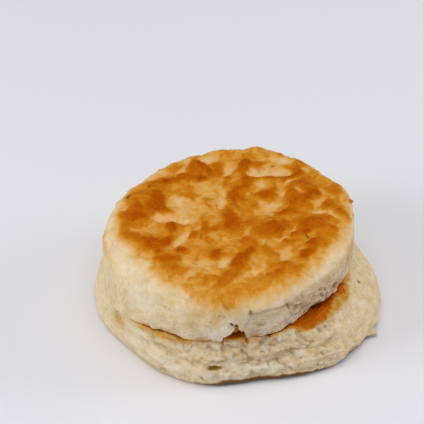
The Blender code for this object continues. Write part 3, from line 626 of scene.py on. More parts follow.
def turned_rings(count, rings):
    """Points and quads of a turned body with its rings from the top middle to the bottom middle, and the
    two fans of triangles that close it."""
    turn = np.linspace(0.0, 2 * math.pi, count, endpoint=False)
    points = [np.array([[0.0, 0.0, rings[0][1]]])]
    quads = []
    for index, (radius, height) in enumerate(rings):
        points.append(ring_points(radius, turn, height))
        if index:
            above = 1 + (index - 1) * count + np.arange(count)
            quads.append(ring_quads(above, above + count))
    last = 1 + len(rings) * count
    points.append(np.array([[0.0, 0.0, rings[-1][1]]]))
    first_ring, last_ring = 1 + np.arange(count), last - count + np.arange(count)
    fans = [
        np.stack([np.zeros(count, int), first_ring, np.roll(first_ring, -1)], axis=1),
        np.stack([last_ring, np.full(count, last), np.roll(last_ring, -1)], axis=1),
    ]
    return np.concatenate(points), np.concatenate(quads), np.concatenate(fans)


def make_object(name, points, quads, triangles):
    mesh = bpy.data.meshes.new(name)
    corners = np.concatenate([quads.ravel(), triangles.ravel()]).astype(np.int32)
    starts = np.concatenate([np.arange(len(quads)) * 4, len(quads) * 4 + np.arange(len(triangles)) * 3])
    mesh.vertices.add(len(points))
    mesh.vertices.foreach_set("co", (points * MM).astype(np.float32).ravel())
    mesh.loops.add(len(corners))
    mesh.loops.foreach_set("vertex_index", corners)
    mesh.polygons.add(len(starts))
    mesh.polygons.foreach_set("loop_start", starts.astype(np.int32))
    mesh.update(calc_edges=True)
    mesh.validate()
    mesh.shade_smooth()
    body = bpy.data.objects.new(name, mesh)
    bpy.context.scene.collection.objects.link(body)
    return body


def push_along_normals(body, points, out):
    """Moves each point of the mesh along its normal, and gives back the new points."""
    flat = np.empty(len(points) * 3, np.float32)
    body.data.vertex_normals.foreach_get("vector", flat)
    moved = points + flat.reshape(-1, 3).astype(float) * out[:, None]
    body.data.vertices.foreach_set("co", (moved * MM).astype(np.float32).ravel())
    body.data.update()
    return moved


def set_fields(body, **fields):
    """Stores numbers at the points of the mesh under their names, for its material to read."""
    for name, values in fields.items():
        field = body.data.attributes.new(name, "FLOAT", "POINT")
        field.data.foreach_set("value", np.ascontiguousarray(values, np.float32))


def bearings_of(points):
    return np.mod(np.degrees(np.arctan2(points[:, 1], points[:, 0])), 360)


def push_out(points, bearing, out):
    points[:, 0] += out * np.cos(np.radians(bearing))
    points[:, 1] += out * np.sin(np.radians(bearing))


# --- grain of the crumb and the crust ---------------------


def grains(x, y, z, size, seed):
    """Rounded crumbs that meet in creases: about 0.4 on a crumb's crown, below 0 in the creases."""
    return 0.45 - cells(x + 0.3 * noise(x, y, z, size, seed + 5), y, z, size, seed)


def veins(x, y, z, size, seed):
    """Thin broken creases: 1 along them, 0 between."""
    line = smooth(0.15, 0.0, np.abs(noise(x, y, z, size, seed)))
    return line * smooth(-0.15, 0.35, noise(x, y, z, size * 1.7, seed + 1))


def pinholes(x, y, z, seed):
    """Painted shade of small pinholes in the baked skin, in loose groups."""
    holes = smooth(0.26, 0.1, cells(x, y, z, 1.7, seed))
    return holes * smooth(-0.1, 0.5, noise(x, y, z, 5.0, seed + 3))


def streaks(x, y, turn, seed):
    """Fine grain that runs along one direction."""
    along, across = turned(x, y, turn)
    fine = noise(along * 0.22, across, 0 * x, 0.8, seed)
    return fine * 0.6 + noise(along * 0.3, across, 0 * x, 1.7, seed + 1) * 0.4


def crumb_relief(x, y, z, seed):
    """Relief of torn crumb, up to about 0.6 either way: lumps, flat-lying creases and scattered pores."""
    wx = x + 0.6 * noise(x, y, z, 1.9, seed)
    wy = y + 0.6 * noise(x, y, z, 1.9, seed + 1)
    wz = 1.6 * (z + 0.5 * noise(x, y, z, 2.4, seed + 2))
    lumps = noises(wx, wy, wz, (0.3, 3.6, seed + 3), (0.22, 1.8, seed + 4), (0.14, 0.95, seed + 5))
    grit = 0.08 * noise(x, y, z, 0.6, seed + 6) + 0.1 * grains(wx, wy, wz, 1.5, seed + 7)
    pores = smooth(0.3, 0.1, cells(wx, wy, wz, 2.7, seed + 9))
    pores = pores * smooth(-0.1, 0.5, noise(x, y, z, 4.0, seed + 8))
    creases = 0.34 * veins(wx, wy, wz, 3.2, seed + 10) + 0.2 * veins(wx, wy, wz, 1.7, seed + 12)
    return lumps + grit - 0.4 * pores - creases


def skin_relief(x, y, z, seed):
    """Relief of the smooth baked skin: low swells, a fine grain and a few pinholes."""
    swells = noises(x, y, z, (0.14, 4.5, seed), (0.1, 1.9, seed + 1), (0.08, 0.9, seed + 2))
    holes = smooth(0.2, 0.09, cells(x, y, z, 2.1, seed + 6))
    return swells + 0.14 * grains(x, y, z, 1.3, seed + 3) - 0.25 * holes


# --- marks ------------------------------------------------


def cuts(table, bearing, z, radius):
    """Depth of the cuts over a side and darkness of their painted shade, the points measured along the side
    in mm.
    """
    turn = np.radians(bearing) * radius
    run = turn + noises(turn, z, 0 * z, (0.45, 1.3, 81), (0.2, 0.6, 80))
    rise = z + noises(turn, z, 0 * z, (0.4, 1.3, 82), (0.2, 0.6, 79))
    depth, dark = np.zeros_like(z), np.zeros_like(z)
    for start, ay, end, end_level, half_width, cut_depth, cut_shade in table:
        ax = np.radians(start) * radius
        dx, dy = np.radians(end) * radius - ax, end_level - ay
        share = np.clip(((run - ax) * dx + (rise - ay) * dy) / (dx**2 + dy**2), 0, 1)
        far = np.hypot(run - ax - share * dx, rise - ay - share * dy) / half_width
        depth = np.maximum(depth, cut_depth * np.exp(-((far / 1.4) ** 2)))
        dark = np.maximum(dark, cut_shade * np.exp(-((far / 1.2) ** 2)))
    return depth, dark


def stains(table, bearing, z, size=1.2):
    """Strength of the stains over a side, their edges ragged by lumps of the size given."""
    turn = np.radians(bearing) * SIDE_UNROLLED
    run = turn + noises(turn, z, 0 * z, (0.7, size, 83), (0.4, 0.7, 89))
    rise = z + noises(turn, z, 0 * z, (0.5, size, 84), (0.3, 0.7, 90))
    total = np.zeros_like(z)
    for at, level, half_turn, half_rise, strength in table:
        far = ((run / SIDE_UNROLLED - np.radians(at)) / np.radians(half_turn)) ** 2
        far = far + ((rise - level) / half_rise) ** 2
        total = np.maximum(total, strength / (1.0 + far**1.6))
    return total


def ledge_pits(x, y, z):
    """Depth of the ledge's pits, and the darkness of their painted shade."""
    total = 0 * x
    for across, back, radius, strength in LEDGE_PITS:
        far = np.hypot(x - across, y - back) / radius
        total = np.maximum(total, strength * np.exp(-(far**2)))
    return total * smooth(10.0, 11.4, z)


def rim_flakes(bearing, z):
    """How far the flakes push out the lid's rim, and how brown they are."""
    out, brown = 0 * z, 0 * z
    for *mark, reach, shade in RIM_FLAKES:
        share = swell(bearing, z, *mark, 0)
        out = out + reach * share
        brown = np.maximum(brown, shade * share)
    return out, brown


def flake_lines(bearing, z):
    """Thin dark lines of painted shade between the flaky layers of the lower front: wavy, flat-lying and
    broken.
    """
    run = np.radians(bearing) * LOWER_UNROLLED
    level = z + noises(run, z, 0 * z, (0.6, 4, 91), (0.35, 1.5, 92))
    line = smooth(0.3, 0.0, np.abs(noise(run * 0.3, level, 0 * z, 1.6, 93)))
    line = line * smooth(0.05, 0.5, noise(run, z * 1.5, 0 * z, 2.0, 94))
    curl = smooth(0.3, 0.0, np.abs(noise(run * 0.5, level, 0 * z, 1.1, 95)))
    curl = curl * smooth(0.1, 0.45, noise(run, z * 1.3, 0 * z, 1.3, 96))
    high = smooth(6.2, 8.4, z) * smooth(13.6, 12.8, z)
    low = 0.25 * smooth(1.5, 3.0, z)
    return np.maximum(line * high, 0.8 * curl * (low + 0.75 * high)) * between(FLAKY, 8.0, bearing)


# --- lower half -------------------------------------------


def lower_points():
    """The lower half's mesh in the form of its solid, with each point's bearing and its height before the
    split's relief."""
    inner = [(8.0, SPLIT_Z), (18.0, SPLIT_Z), (26.0, SPLIT_Z)]
    side = even_steps([(28.5, SPLIT_Z), (LOWER_FACE, SPLIT_Z)] + lower_side(), SIDE_STEP)
    under = [(FLOOR_RADIUS, 0.0), (30.0, 0.0), (15.0, 0.0)]
    points, quads, fans = turned_rings(LOWER_TURN, np.concatenate([inner, side, under]))
    bearing, z = bearings_of(points), points[:, 2].copy()
    on_face = z > SPLIT_Z - 0.01
    on_floor = z < 0.01
    line = lower_side()[::-1]
    nominal = np.interp(z, [height for _, height in line], [radius for radius, _ in line])
    nominal = np.where(on_face, LOWER_FACE, np.where(on_floor, FLOOR_RADIUS, nominal))
    face_rim = by_bearing(BROW, bearing) - (LOWER_BROW - LOWER_FACE) + 1.0
    floor_rim = by_bearing(FOOT, bearing) - (LOWER_RADIUS - FLOOR_RADIUS) + 0.8
    real = np.where(on_face, face_rim, np.where(on_floor, floor_rim, lower_radius(bearing, z)))
    points[:, :2] *= (real / nominal)[:, None]
    x, y = points[:, 0].copy(), points[:, 1].copy()
    flaky = 0.5 - 0.5 * np.sin(np.radians(bearing))
    out = 0.35 * noise(x, y, z * 1.6, 9.0, 11) + (0.1 + 0.25 * flaky) * noise(x, y, z * 2.6, 4.2, 12)
    out = (out + layer_relief(bearing, z)) * smooth(0.2, 2.2, z) * ~on_face
    lip = LIP_REACH * np.exp(-(((bearing - LIP_BEARING) / LIP_HALF) ** 2))
    lip = lip * smooth(2.3, 1.7, z) * smooth(0.5, 1.1, z)
    crag = CRAG_REACH * np.exp(-(((bearing - CRAG_BEARING) / CRAG_HALF) ** 2)) * smooth(7.5, 3.0, z)
    push_out(points, bearing, out + np.maximum(lip, crag) * ~on_floor)
    points[:, 2] += split_relief(x, y) * smooth(9.0, SPLIT_Z, z)
    return points, quads, fans, bearing, z


def ledge_browning(bearing, z, x, y):
    """Browning of the lower half's face near its rim, how far it is the deep brown of a core, and how
    golden it is: thin along the crack under the hem at the left, dark in the notch, orange brown on the
    bare ledge at the right front with a ragged yellow margin."""
    bays = between(BARE_LEDGE, 3.0, bearing)
    wander = noises(x, y, z, (0.5, 2.6, 46), (0.5, 1.2, 47), (0.4, 0.6, 45))
    reach = np.hypot(x, y) + wander * (0.35 + 0.65 * bays)
    turn = bearing + (0.5 + 0.7 * bays) * noise(x, y, z, 1.6, 48)
    inner, outer, level = (np.interp(turn, list(LEDGE_EDGE), part) for part in zip(*LEDGE_EDGE.values()))
    speckle = noise(x, y, z, 0.9, 44)
    core = smooth(inner + 0.9, inner - 1.1, reach + 0.25 * speckle)
    margin = np.clip((outer - reach) / np.maximum(outer - inner, 0.2), 0.0, 1.0)
    mottle = 1.0 + noises(x, y, z, (0.14, 2.4, 49), (0.16, 1, 50)) + 0.1 * speckle
    yellow = smooth(0.0, 0.7, margin)
    gold = 0.36 * yellow * (1 + 0.3 * speckle + 0.5 * noise(x, y, z, 1.6, 43))
    high = smooth(11.8, 12.8, z)
    brown = np.maximum(level * core * mottle, np.minimum(level, gold) * (1 - core)) * high
    return brown, core * bays * high, yellow * high


def seam_shades(x, y, z, bearing):
    """Painted shade of the crack under the lid's hem, where the ledge is bare and along the closed seam, and
    the thin brown line in its depth."""
    reach = hem_reach(x, y)
    crack = smooth(0.4, -0.3, reach + 0.3 * noise(x, y, z, 1.2, 29)) * smooth(11.5, 13.0, z)
    crack = crack * between(CRACK, 4.0, bearing)
    bare = between(CRACK_NOTCH, 1.0, bearing) + between(CRACK_BARE, 3.0, bearing)
    shut = 0.75 * between(CRACK_SHUT, 1.5, bearing) + 0.8 * between(CRACK_CLOSING, 3.0, bearing)
    seam = crack * (1 - bare) * (1 - shut) * smooth(12.4, 13.3, z)
    line = smooth(0.15, -0.1, reach) * smooth(13.2, 13.7, z) * between(SEAM_LINE, 3.0, bearing)
    return crack * bare, seam, (0.24 + 0.36 * between(SEAM_DEEP, 3.0, bearing)) * line


def lower_tears(x, y, z, bearing):
    """How torn the lower half's side is, and how far a point is on its right flank."""
    turn = bearing + 5.0 * noise(x, y, z, 6.0, 40)
    front = between(LOWER_TORN, 14.0, turn) + 0.5 * between(LOWER_HALF_TORN, 14.0, turn)
    flank = between(LOWER_FLANK, 20.0, past_front(bearing))
    return np.clip(front + 0.35 * flank + 0.08, 0, 1), flank


def ledge_shades(x, y, z, bearing):
    """Brown, ember, scorched red, gold, moss and darkness of the ledge and of the crack under the lid's hem;
    the crack, the recess, the seam and the ledge close to the hem carry painted shade.
    """
    brown, core, yellow = ledge_browning(bearing, z, x, y)
    crack, seam, line = seam_shades(x, y, z, bearing)
    gilt = between(GILT, 2.0, bearing)
    brown = brown * (1 - 0.12 * gilt) * (1 + 0.3 * gilt * noise(x, y, z, 1.0, 86))
    brown = highest(brown, 0.4 * seam**2 * (1 + 0.5 * noise(x, y, z, 0.9, 57)), line)
    # Painted shade on the ledge close to the lid's hem: it dims the ember and adds scorched red.
    near = smooth(2.2, 0.3, hem_reach(x, y) + 0.6 * noise(x, y, z, 1.4, 28))
    near = near * sum(between((start, end), fade, bearing) for start, end, fade in LEDGE_BAYS)
    burnt = smooth(0.0, 0.7, noises(x, y, z, (0.6, 2.4, 98), (0.5, 0.9, 99)))
    ember = core * (1 - 0.5 * near) * (0.75 + 0.35 * noise(x, y, z, 1.4, 31))
    floor = 0.2 * burnt * between(NOTCH_FLOOR, 1.0, bearing) * yellow
    scorch = np.clip(highest(0.8 * crack, (0.55 * near + 0.5 * burnt) * core, floor), 0, 1)
    band = np.clip(1.6 * yellow * (1 + 0.45 * noise(x, y, z, 1.2, 42)), 0, 1)
    moss = band * np.maximum(0.1 * gilt, 0.3 * between(BARE_LEDGE, 3.0, bearing) * (1 - core))
    # Painted shade in the recess under the hem and in the closed seam.
    dark = np.maximum(0.25 * between(RECESS, 0.8, bearing) * yellow, 0.4 * seam**2)
    return brown, ember, scorch, gilt * band, moss, dark


def undercut(x, y, z, bearing):
    """The dark line where the foot turns in over the floor: the browned underside, with painted contact
    shadow.
    """
    rim = 1.4 + between(UNDERCUT_HIGH, 5.0, bearing) - 0.3 * between(UNDERCUT_LOW, 1.5, bearing)
    under = smooth(rim + 0.3, rim - 0.3, z + 0.4 * noise(x, y, z, 2.2, 32))
    return under * between(UNDERCUT, 5.0, bearing)


def pocket(bearing, z):
    """The slot at the front: 1 in its middle, 0 at its edge."""
    along, up = np.radians(bearing - POCKET_BEARING) * lower_radius(bearing, z), z - POCKET_Z
    return np.clip(1 - (along / POCKET_HALF[0]) ** 2 - (up / POCKET_HALF[1]) ** 2, 0, 1)


def make_lower():
    """The lower half, and its points before they are settled in the frame."""
    points, quads, fans, bearing, z = lower_points()
    body = make_object("biscuit_bottom_crumb", points, quads, fans)
    x, y = points[:, 0], points[:, 1]
    torn, flank = lower_tears(x, y, z, bearing)
    side = smooth(0.3, 1.4, z) * smooth(13.9, 13.0, z)
    cut, cut_shade = cuts(LOWER_CUTS, bearing, z, LOWER_UNROLLED)
    lines, pits, slot = flake_lines(bearing, z), ledge_pits(x, y, z), pocket(bearing, z)
    depth = highest(cut, 0.25 * lines, 0.4 * pits)
    fine = torn * crumb_relief(x, y, z, 41) + (1 - torn) * skin_relief(x, y, z, 35)
    fine = side * fine * (1 - smooth(0, 0.3, slot)) * (1 - 0.5 * smooth(0.2, 0.8, depth))
    fibre = noises(x, y, z, (0.22, 2.2, 34), (0.12, 0.8, 30)) + 0.3 * grains(x, y, z, 1.2, 33)
    fibre = fibre * (1 - side) * smooth(12.6, 13.6, z) * (z <= SPLIT_Z)
    out = fine - depth - POCKET_HALF[2] * np.sqrt(slot) * (z > 1) + fibre
    moved = push_along_normals(body, points, out * (z > 0.01))

    brown, ember, scorch, gold, moss, shade = ledge_shades(x, y, z, bearing)
    base = smooth(2.0, 0.3, z + 0.6 * noise(x, y, z, 2.6, 32))
    holes = pinholes(x, y, z, 64) * smooth(1.5, 3.0, z)
    under = undercut(x, y, z, bearing)
    set_fields(
        body,
        brown=np.maximum(brown, 0.12 * base),
        torn=np.clip(torn + 0.3 * flank, 0, 1) * side,
        stain=highest(stains(LOWER_TANS, bearing, z), 0.14 * flank, gold),
        # pale: pale flakes, partly painted highlight on the lighter band of the lower front.
        pale=stains(LOWER_PALES, bearing, z),
        # rise turns the relief into painted shade in its hollows and painted highlight on its crowns.
        rise=0.5 + 0.7 * fine + 0.5 * fibre,
        # dark: painted shade in the cuts, flake gaps, pits, pinholes and seam, and the undercut's browned
        # underside with its painted shadow.
        dark=highest(cut_shade, 0.5 * lines, pits, 0.74 * under, 0.34 * holes, shade),
        moss=np.maximum(0.9 * smooth(0.05, 0.5, slot), moss),
        ember=ember,
        # Burnt mottling of the ledge, and painted shade in the open crack and near the lid's hem.
        scorch=scorch,
    )
    return body, moved


# --- upper half -------------------------------------------


def lid_points():
    """The lid's mesh in the form of its solid, with each point's bearing, its height before the relief and
    its way from the middle over the rim."""
    (edge, edge_z), side = lid_side()[0], even_steps(lid_side(), SIDE_STEP)[1:]
    under = [(34.0, SPLIT_Z + GAP), (29.0, SPLIT_Z + GAP), (15.0, SPLIT_Z + GAP)]
    points, quads, fan = capped_turn(LID_GRID, edge, edge_z, side, under)
    flat = LID_TOP_Z - (LID_TOP_Z - edge_z) * smooth(0.9, 1.0, np.hypot(points[:, 0], points[:, 1]) / edge)
    points[:, 2] = np.where(points[:, 2] >= edge_z - 1e-6, flat, points[:, 2])
    bearing, z = bearings_of(points), points[:, 2].copy()
    walk = np.hypot(points[:, 0], points[:, 1]) + np.clip(LID_TOP_Z - z, 0, None) * 0.9
    points[:, :2] *= (lid_radius(bearing, z) / LID_RADIUS)[:, None]
    points[:, :2] += LID_CENTRE
    x, y = points[:, 0].copy(), points[:, 1].copy()
    rim = smooth(30.0, 36.0, np.hypot(x - LID_CENTRE[0], y - LID_CENTRE[1]))
    ragged = noises(x, y, 0 * x, (0.45, 3.6, 23), (0.35, 1.3, 26), (0.2, 0.7, 27))
    uneven = 0.3 * noise(x, y, z * 1.5, 9.0, 21) + 0.16 * noise(x, y, z * 2.0, 4.4, 22)
    out = uneven * smooth(15.0, 16.5, z) * (1 - smooth(26.0, 29.0, z)) + ragged * (1 - smooth(15.0, 17.5, z))
    push_out(points, bearing, (out - torn_front(bearing, z) + rim_flakes(bearing, z)[0]) * rim)
    points[:, 2] += split_relief(x, y) * (1 - smooth(15.0, 20.0, z))
    points[:, 2] += crust_relief(x, y) * smooth(25.5, 30.0, z)
    teeth = noises(x, y, 0 * x, (1, 1.7, 24), (0.7, 0.8, 25)) - 0.25
    reach = 0.25 + 0.75 * between(HEM_LIFTED, 8.0, bearing)
    closing = 0.25 * between(HEM_CLOSED, 4.0, bearing)
    lift = HEM_TEETH * np.clip(teeth, -0.25, 1) * reach - closing
    points[:, 2] += lift * rim * smooth(16.6, 14.4, z)
    return points, quads, fan, bearing, z, walk


def crust_browning(x, y):
    """How brown the crust is, 0 cream to 1 dark brown, before it fades at the rim."""
    flat = 0 * x
    wx = x + noises(x, y, flat, (0.8, 3.4, 51), (0.5, 1.5, 52), (0.25, 0.8, 75))
    wy = y + noises(x, y, flat, (0.8, 3.4, 53), (0.5, 1.5, 54), (0.25, 0.8, 76))
    total = GROUND_BROWN + 0.08 * noise(wx, wy, flat, 5.0, 55)
    for *mark, level in BROWN_MARKS:
        total = total + (level - total) * 0.93 * patch(wx, wy, *mark)
    total = total + noises(wx, wy, flat, (0.1, 2.4, 56), (0.08, 1.2, 57), (0.06, 0.7, 77))
    total = total + 0.06 * streaks(wx, wy, 66, 58)
    brown = 0.56 + 0.62 * np.tanh((total - 0.54) * 2.4)
    return brown + 0.4 * np.clip(0.34 - brown, 0, 1)


def lid_tears(x, y, z, bearing):
    """How torn the lid's side is, how far a point is in the torn step and in the hollow at the right, and
    the step's raised edge."""
    turn = past_front(bearing) + 6.0 * noise(x, y, z, 5.0, 88)
    right = smooth(LID_TORN[0], LID_TORN[0] + 8, turn) * smooth(LID_TORN[1], LID_TORN[1] - 28, turn)
    right = right * smooth(29.4, 27.4, z)
    top = read(TEAR_TOP, bearing) + 0.5 * noise(x, y, z, 3.0, 61)
    tear = between(LID_TEAR, 2.0, bearing) * smooth(top + 0.4, top - 0.4, z)
    ragged = smooth(18.5, 15.5, z + noise(x, y, z, 3.0, 62)) * between(HEM_RAGGED, 6.0, bearing)
    hollow = between(LID_HOLLOW, 4.0, bearing) * smooth(22.5, 19.5, z + noise(x, y, z, 2.6, 60))
    torn = np.clip(0.5 * tear + right * (1 - 0.4 * tear) + 0.5 * ragged, 0, 1)
    return torn, hollow, tear * smooth(top - 1.6, top - 0.2, z)


def crust_specks(x, y):
    """Strength of the crust's dark pits and scorched cracks."""
    return highest(*(amount * swell(x, y, *mark) for *mark, amount in SPECKS))


def notch_shades(x, y, z, bearing, gap):
    """Brown inside the notch, and its painted shade: scorched red at its upper back wall and left edge,
    darker at its top.
    """
    left = smooth(271.0, 269.0, bearing)
    brown = gap * (0.48 + 0.2 * left + 0.25 * noise(x, y, z, 1.0, 74))
    mottle = noise(x, y, z, 0.9, 78)
    # Painted shade in scorched red over the upper back wall and the left edge, and darker painted shade at
    # the top.
    scorch = np.maximum(0.5 * between((16.0, 17.6), 0.6, z), 0.12 * left) * gap * (0.85 + 0.6 * mottle)
    tip = smooth(0.25, 0.6, gap) * smooth(16.6, 17.6, z) * (0.9 + 0.3 * mottle)
    return brown, scorch, tip


def make_lid():
    """The lid."""
    points, quads, fan, bearing, z, walk = lid_points()
    body = make_object("biscuit_top_crust", points, quads, fan)
    x, y = points[:, 0], points[:, 1]
    top = smooth(26.5, 29.0, z)
    side = smooth(14.4, 15.2, z) * (1 - top)
    torn, hollow, lip = lid_tears(x, y, z, bearing)
    cut, cut_shade = cuts(LID_CUTS, bearing, z, LID_UNROLLED)
    gap = notch(bearing, z)
    whole = 1 - gap
    brown = crust_browning(x, y)
    specks = crust_specks(x, y)
    wrinkle = noises(x, y, 0 * x, (0.3, 4.4, 58), (0.22, 2.2, 67), (0.14, 1.1, 68))
    wrinkle = wrinkle + 0.18 * grains(x, y, 0 * x, 1.6, 59)
    fine = torn * crumb_relief(x, y, z, 63) * (1 + hollow) + (1 - torn) * skin_relief(x, y, z, 85)
    blister = wrinkle + np.clip(brown, 0.1, 1) - GROUND_BROWN
    out = side * fine * whole * (1 - 0.5 * smooth(0.2, 0.8, cut)) - cut * whole
    out = out + (blister - 0.2 * specks) * top - 0.45 * lip
    push_along_normals(body, points, out * (z > SPLIT_Z + GAP + 0.01))

    hair = noise(np.radians(bearing) * SIDE_UNROLLED, walk * 0.3, 0 * z, 1.1, 73)
    edge = by_bearing(BROWN_EDGE, bearing) + noises(x, y, z, (1.2, 3.6, 71), (0.7, 1.3, 72)) + 0.2 * hair
    baked = np.clip(brown, 0.1, 1.2) * smooth(4.6, -5.6, walk - edge) * (z > 17)
    stained = stains(LID_STAINS, bearing, z, 1.6) * side * (1 + 0.3 * noise(x, y, z, 1.8, 69) + 0.25 * hair)
    inside, scorch, tip = notch_shades(x, y, z, bearing, gap)
    # Painted shade in the hollow at the right, where the crumb's relief dips.
    hollow_shade = hollow * smooth(0.0, -0.6, fine) * side
    holes = pinholes(x, y, z, 97) * side * whole
    bare = (1 - top) * whole
    set_fields(
        body,
        brown=highest(baked, stained, inside, rim_flakes(bearing, z)[1]),
        torn=torn * side * whole,
        stain=stains(LID_TANS, bearing, z) * bare,
        # pale: pale torn skin and flap, partly painted highlight on the tear's top edge.
        pale=stains(LID_PALES, bearing, z) * bare,
        # rise turns the sides' relief and the crust's wrinkles into painted shade in hollows and painted
        # highlight on crowns.
        rise=0.5 + 0.7 * (side * fine * whole + 0.7 * top * wrinkle),
        # dark: painted shade in the cuts, the hollow, under the torn step's raised edge, in the pinholes and
        # at the notch's top.
        dark=highest(cut_shade * whole, 0.45 * hollow_shade, 0.12 * lip, 0.4 * holes, tip),
        # The crust's scorched specks, and the painted shade inside the notch.
        scorch=np.clip(1.1 * specks * top + scorch, 0, 1),
    )
    return body


# --- materials --------------------------------------------


def colour(red, green, blue):
    """A screen colour out of 255 as a linear one, fully opaque."""
    share = np.array([red, green, blue]) / 255.0
    linear = np.where(share <= 0.04045, share / 12.92, ((share + 0.055) / 1.055) ** 2.4)
    return (*[float(v) for v in linear], 1.0)


BLACK = (0, 0, 0, 1)
WHITE = (1, 1, 1, 1)
TAN = colour(214, 180, 112)
FLOUR = colour(232, 214, 194)
PALE_SKIN = colour(246, 234, 212)
# Pale torn skin and flakes, also painted highlight on lit edges and bands.
PALE_TORN_AND_HIGHLIGHT = colour(250, 243, 228)
# Painted highlight on the crowns of the relief.
CROWN_HIGHLIGHT = colour(248, 240, 220)
# Painted shade in the fine grain's pits and painted highlight on its peaks, following the bump.
GRIT_PIT_SHADE = colour(196, 184, 170)
GRIT_PEAK_HIGHLIGHT = colour(252, 245, 230)
STAIN = colour(202, 160, 90)
EMBER = colour(214, 106, 16)
# Painted shade in cuts, pits, pinholes, flaky gaps, recesses and the seam, deepening to DARK; at the foot
# also the browned underside.
PIT_SHADE_AND_UNDERSIDE_BROWN = colour(142, 100, 54)
DARK = colour(66, 26, 6)
MOSS = colour(168, 140, 36)
# Red brown of the crust's scorched specks, also painted shade in the notch, in the crack under the hem and
# near it.
SCORCH_AND_SHADE_RED = colour(126, 44, 6)
# Each pair: the colour of the torn crumb, then the painted shade in the hollows of the relief.
LID_TORN_AND_HOLLOW_SHADES = (colour(198, 162, 130), colour(168, 130, 84))
LOWER_TORN_AND_HOLLOW_SHADES = (colour(232, 210, 172), colour(180, 150, 96))
# The crust from cream to dark brown.
CRUST_STOPS = (
    (0.0, colour(238, 216, 172)), (0.08, colour(237, 204, 146)), (0.2, colour(232, 184, 116)),
    (0.34, colour(224, 160, 68)), (0.48, colour(213, 139, 35)), (0.62, colour(204, 123, 18)),
    (0.76, colour(196, 110, 8)), (0.9, colour(187, 96, 2)), (1.0, colour(176, 80, 0)),
)


class Graph:
    """Short names for building a node tree."""

    def __init__(self, name):
        self.material = bpy.data.materials.new(name)
        self.material.use_nodes = True
        self.tree = self.material.node_tree
        self.shader = self.tree.nodes["Principled BSDF"]

    def node(self, kind, inputs=None, **settings):
        """A new node with the settings and inputs given."""
        made = self.tree.nodes.new(kind)
        for key, value in settings.items():
            setattr(made, key, value)
        for key, value in (inputs or {}).items():
            self.feed(made.inputs[key], value)
        return made

    def feed(self, socket, value):
        """Sets an input to a number or a colour, or links an output into it."""
        if isinstance(value, (int, float, tuple)):
            socket.default_value = value
        else:
            self.tree.links.new(value, socket)

    def field(self, name):
        return self.node("ShaderNodeAttribute", attribute_name=name).outputs["Fac"]

    def noise(self, scale, detail, roughness=0.55, stretch=(1, 1, 1)):
        at = self.node("ShaderNodeTexCoord").outputs["Object"]
        at = self.node("ShaderNodeMapping", {"Scale": stretch, "Vector": at}).outputs["Vector"]
        inputs = {"Scale": scale, "Detail": detail, "Roughness": roughness, "Vector": at}
        return self.node("ShaderNodeTexNoise", inputs).outputs["Fac"]

    def math(self, operation, *values, clamp=False):
        inputs = dict(enumerate(values))
        return self.node("ShaderNodeMath", inputs, operation=operation, use_clamp=clamp).outputs[0]

    def times(self, first, second, clamp=False):
        return self.math("MULTIPLY", first, second, clamp=clamp)

    def scaled(self, value, factor, offset, clamp=False):
        return self.math("MULTIPLY_ADD", value, factor, offset, clamp=clamp)

    def ramp(self, value, *stops):
        made = self.node("ShaderNodeValToRGB", {"Fac": value})
        elements = made.color_ramp.elements
        while len(elements) < len(stops):
            elements.new(0.5)
        for element, (at, shade) in zip(elements, stops):
            element.position = at
            element.color = shade
        return made.outputs["Color"]

    def fall(self, value, high, low):
        """1 below the first value, 0 above the second."""
        return self.ramp(value, (high, WHITE), (low, BLACK))

    def rise(self, value, low, high):
        """0 below the first value, 1 above the second."""
        return self.ramp(value, (low, BLACK), (high, WHITE))

    def mix(self, share, first, second, blend="MIX"):
        inputs = {0: share, 6: first, 7: second}
        return self.node("ShaderNodeMix", inputs, data_type="RGBA", blend_type=blend).outputs[2]

    def bump(self, height, distance, strength):
        inputs = {"Height": height, "Distance": distance, "Strength": strength}
        return self.node("ShaderNodeBump", inputs).outputs["Normal"]


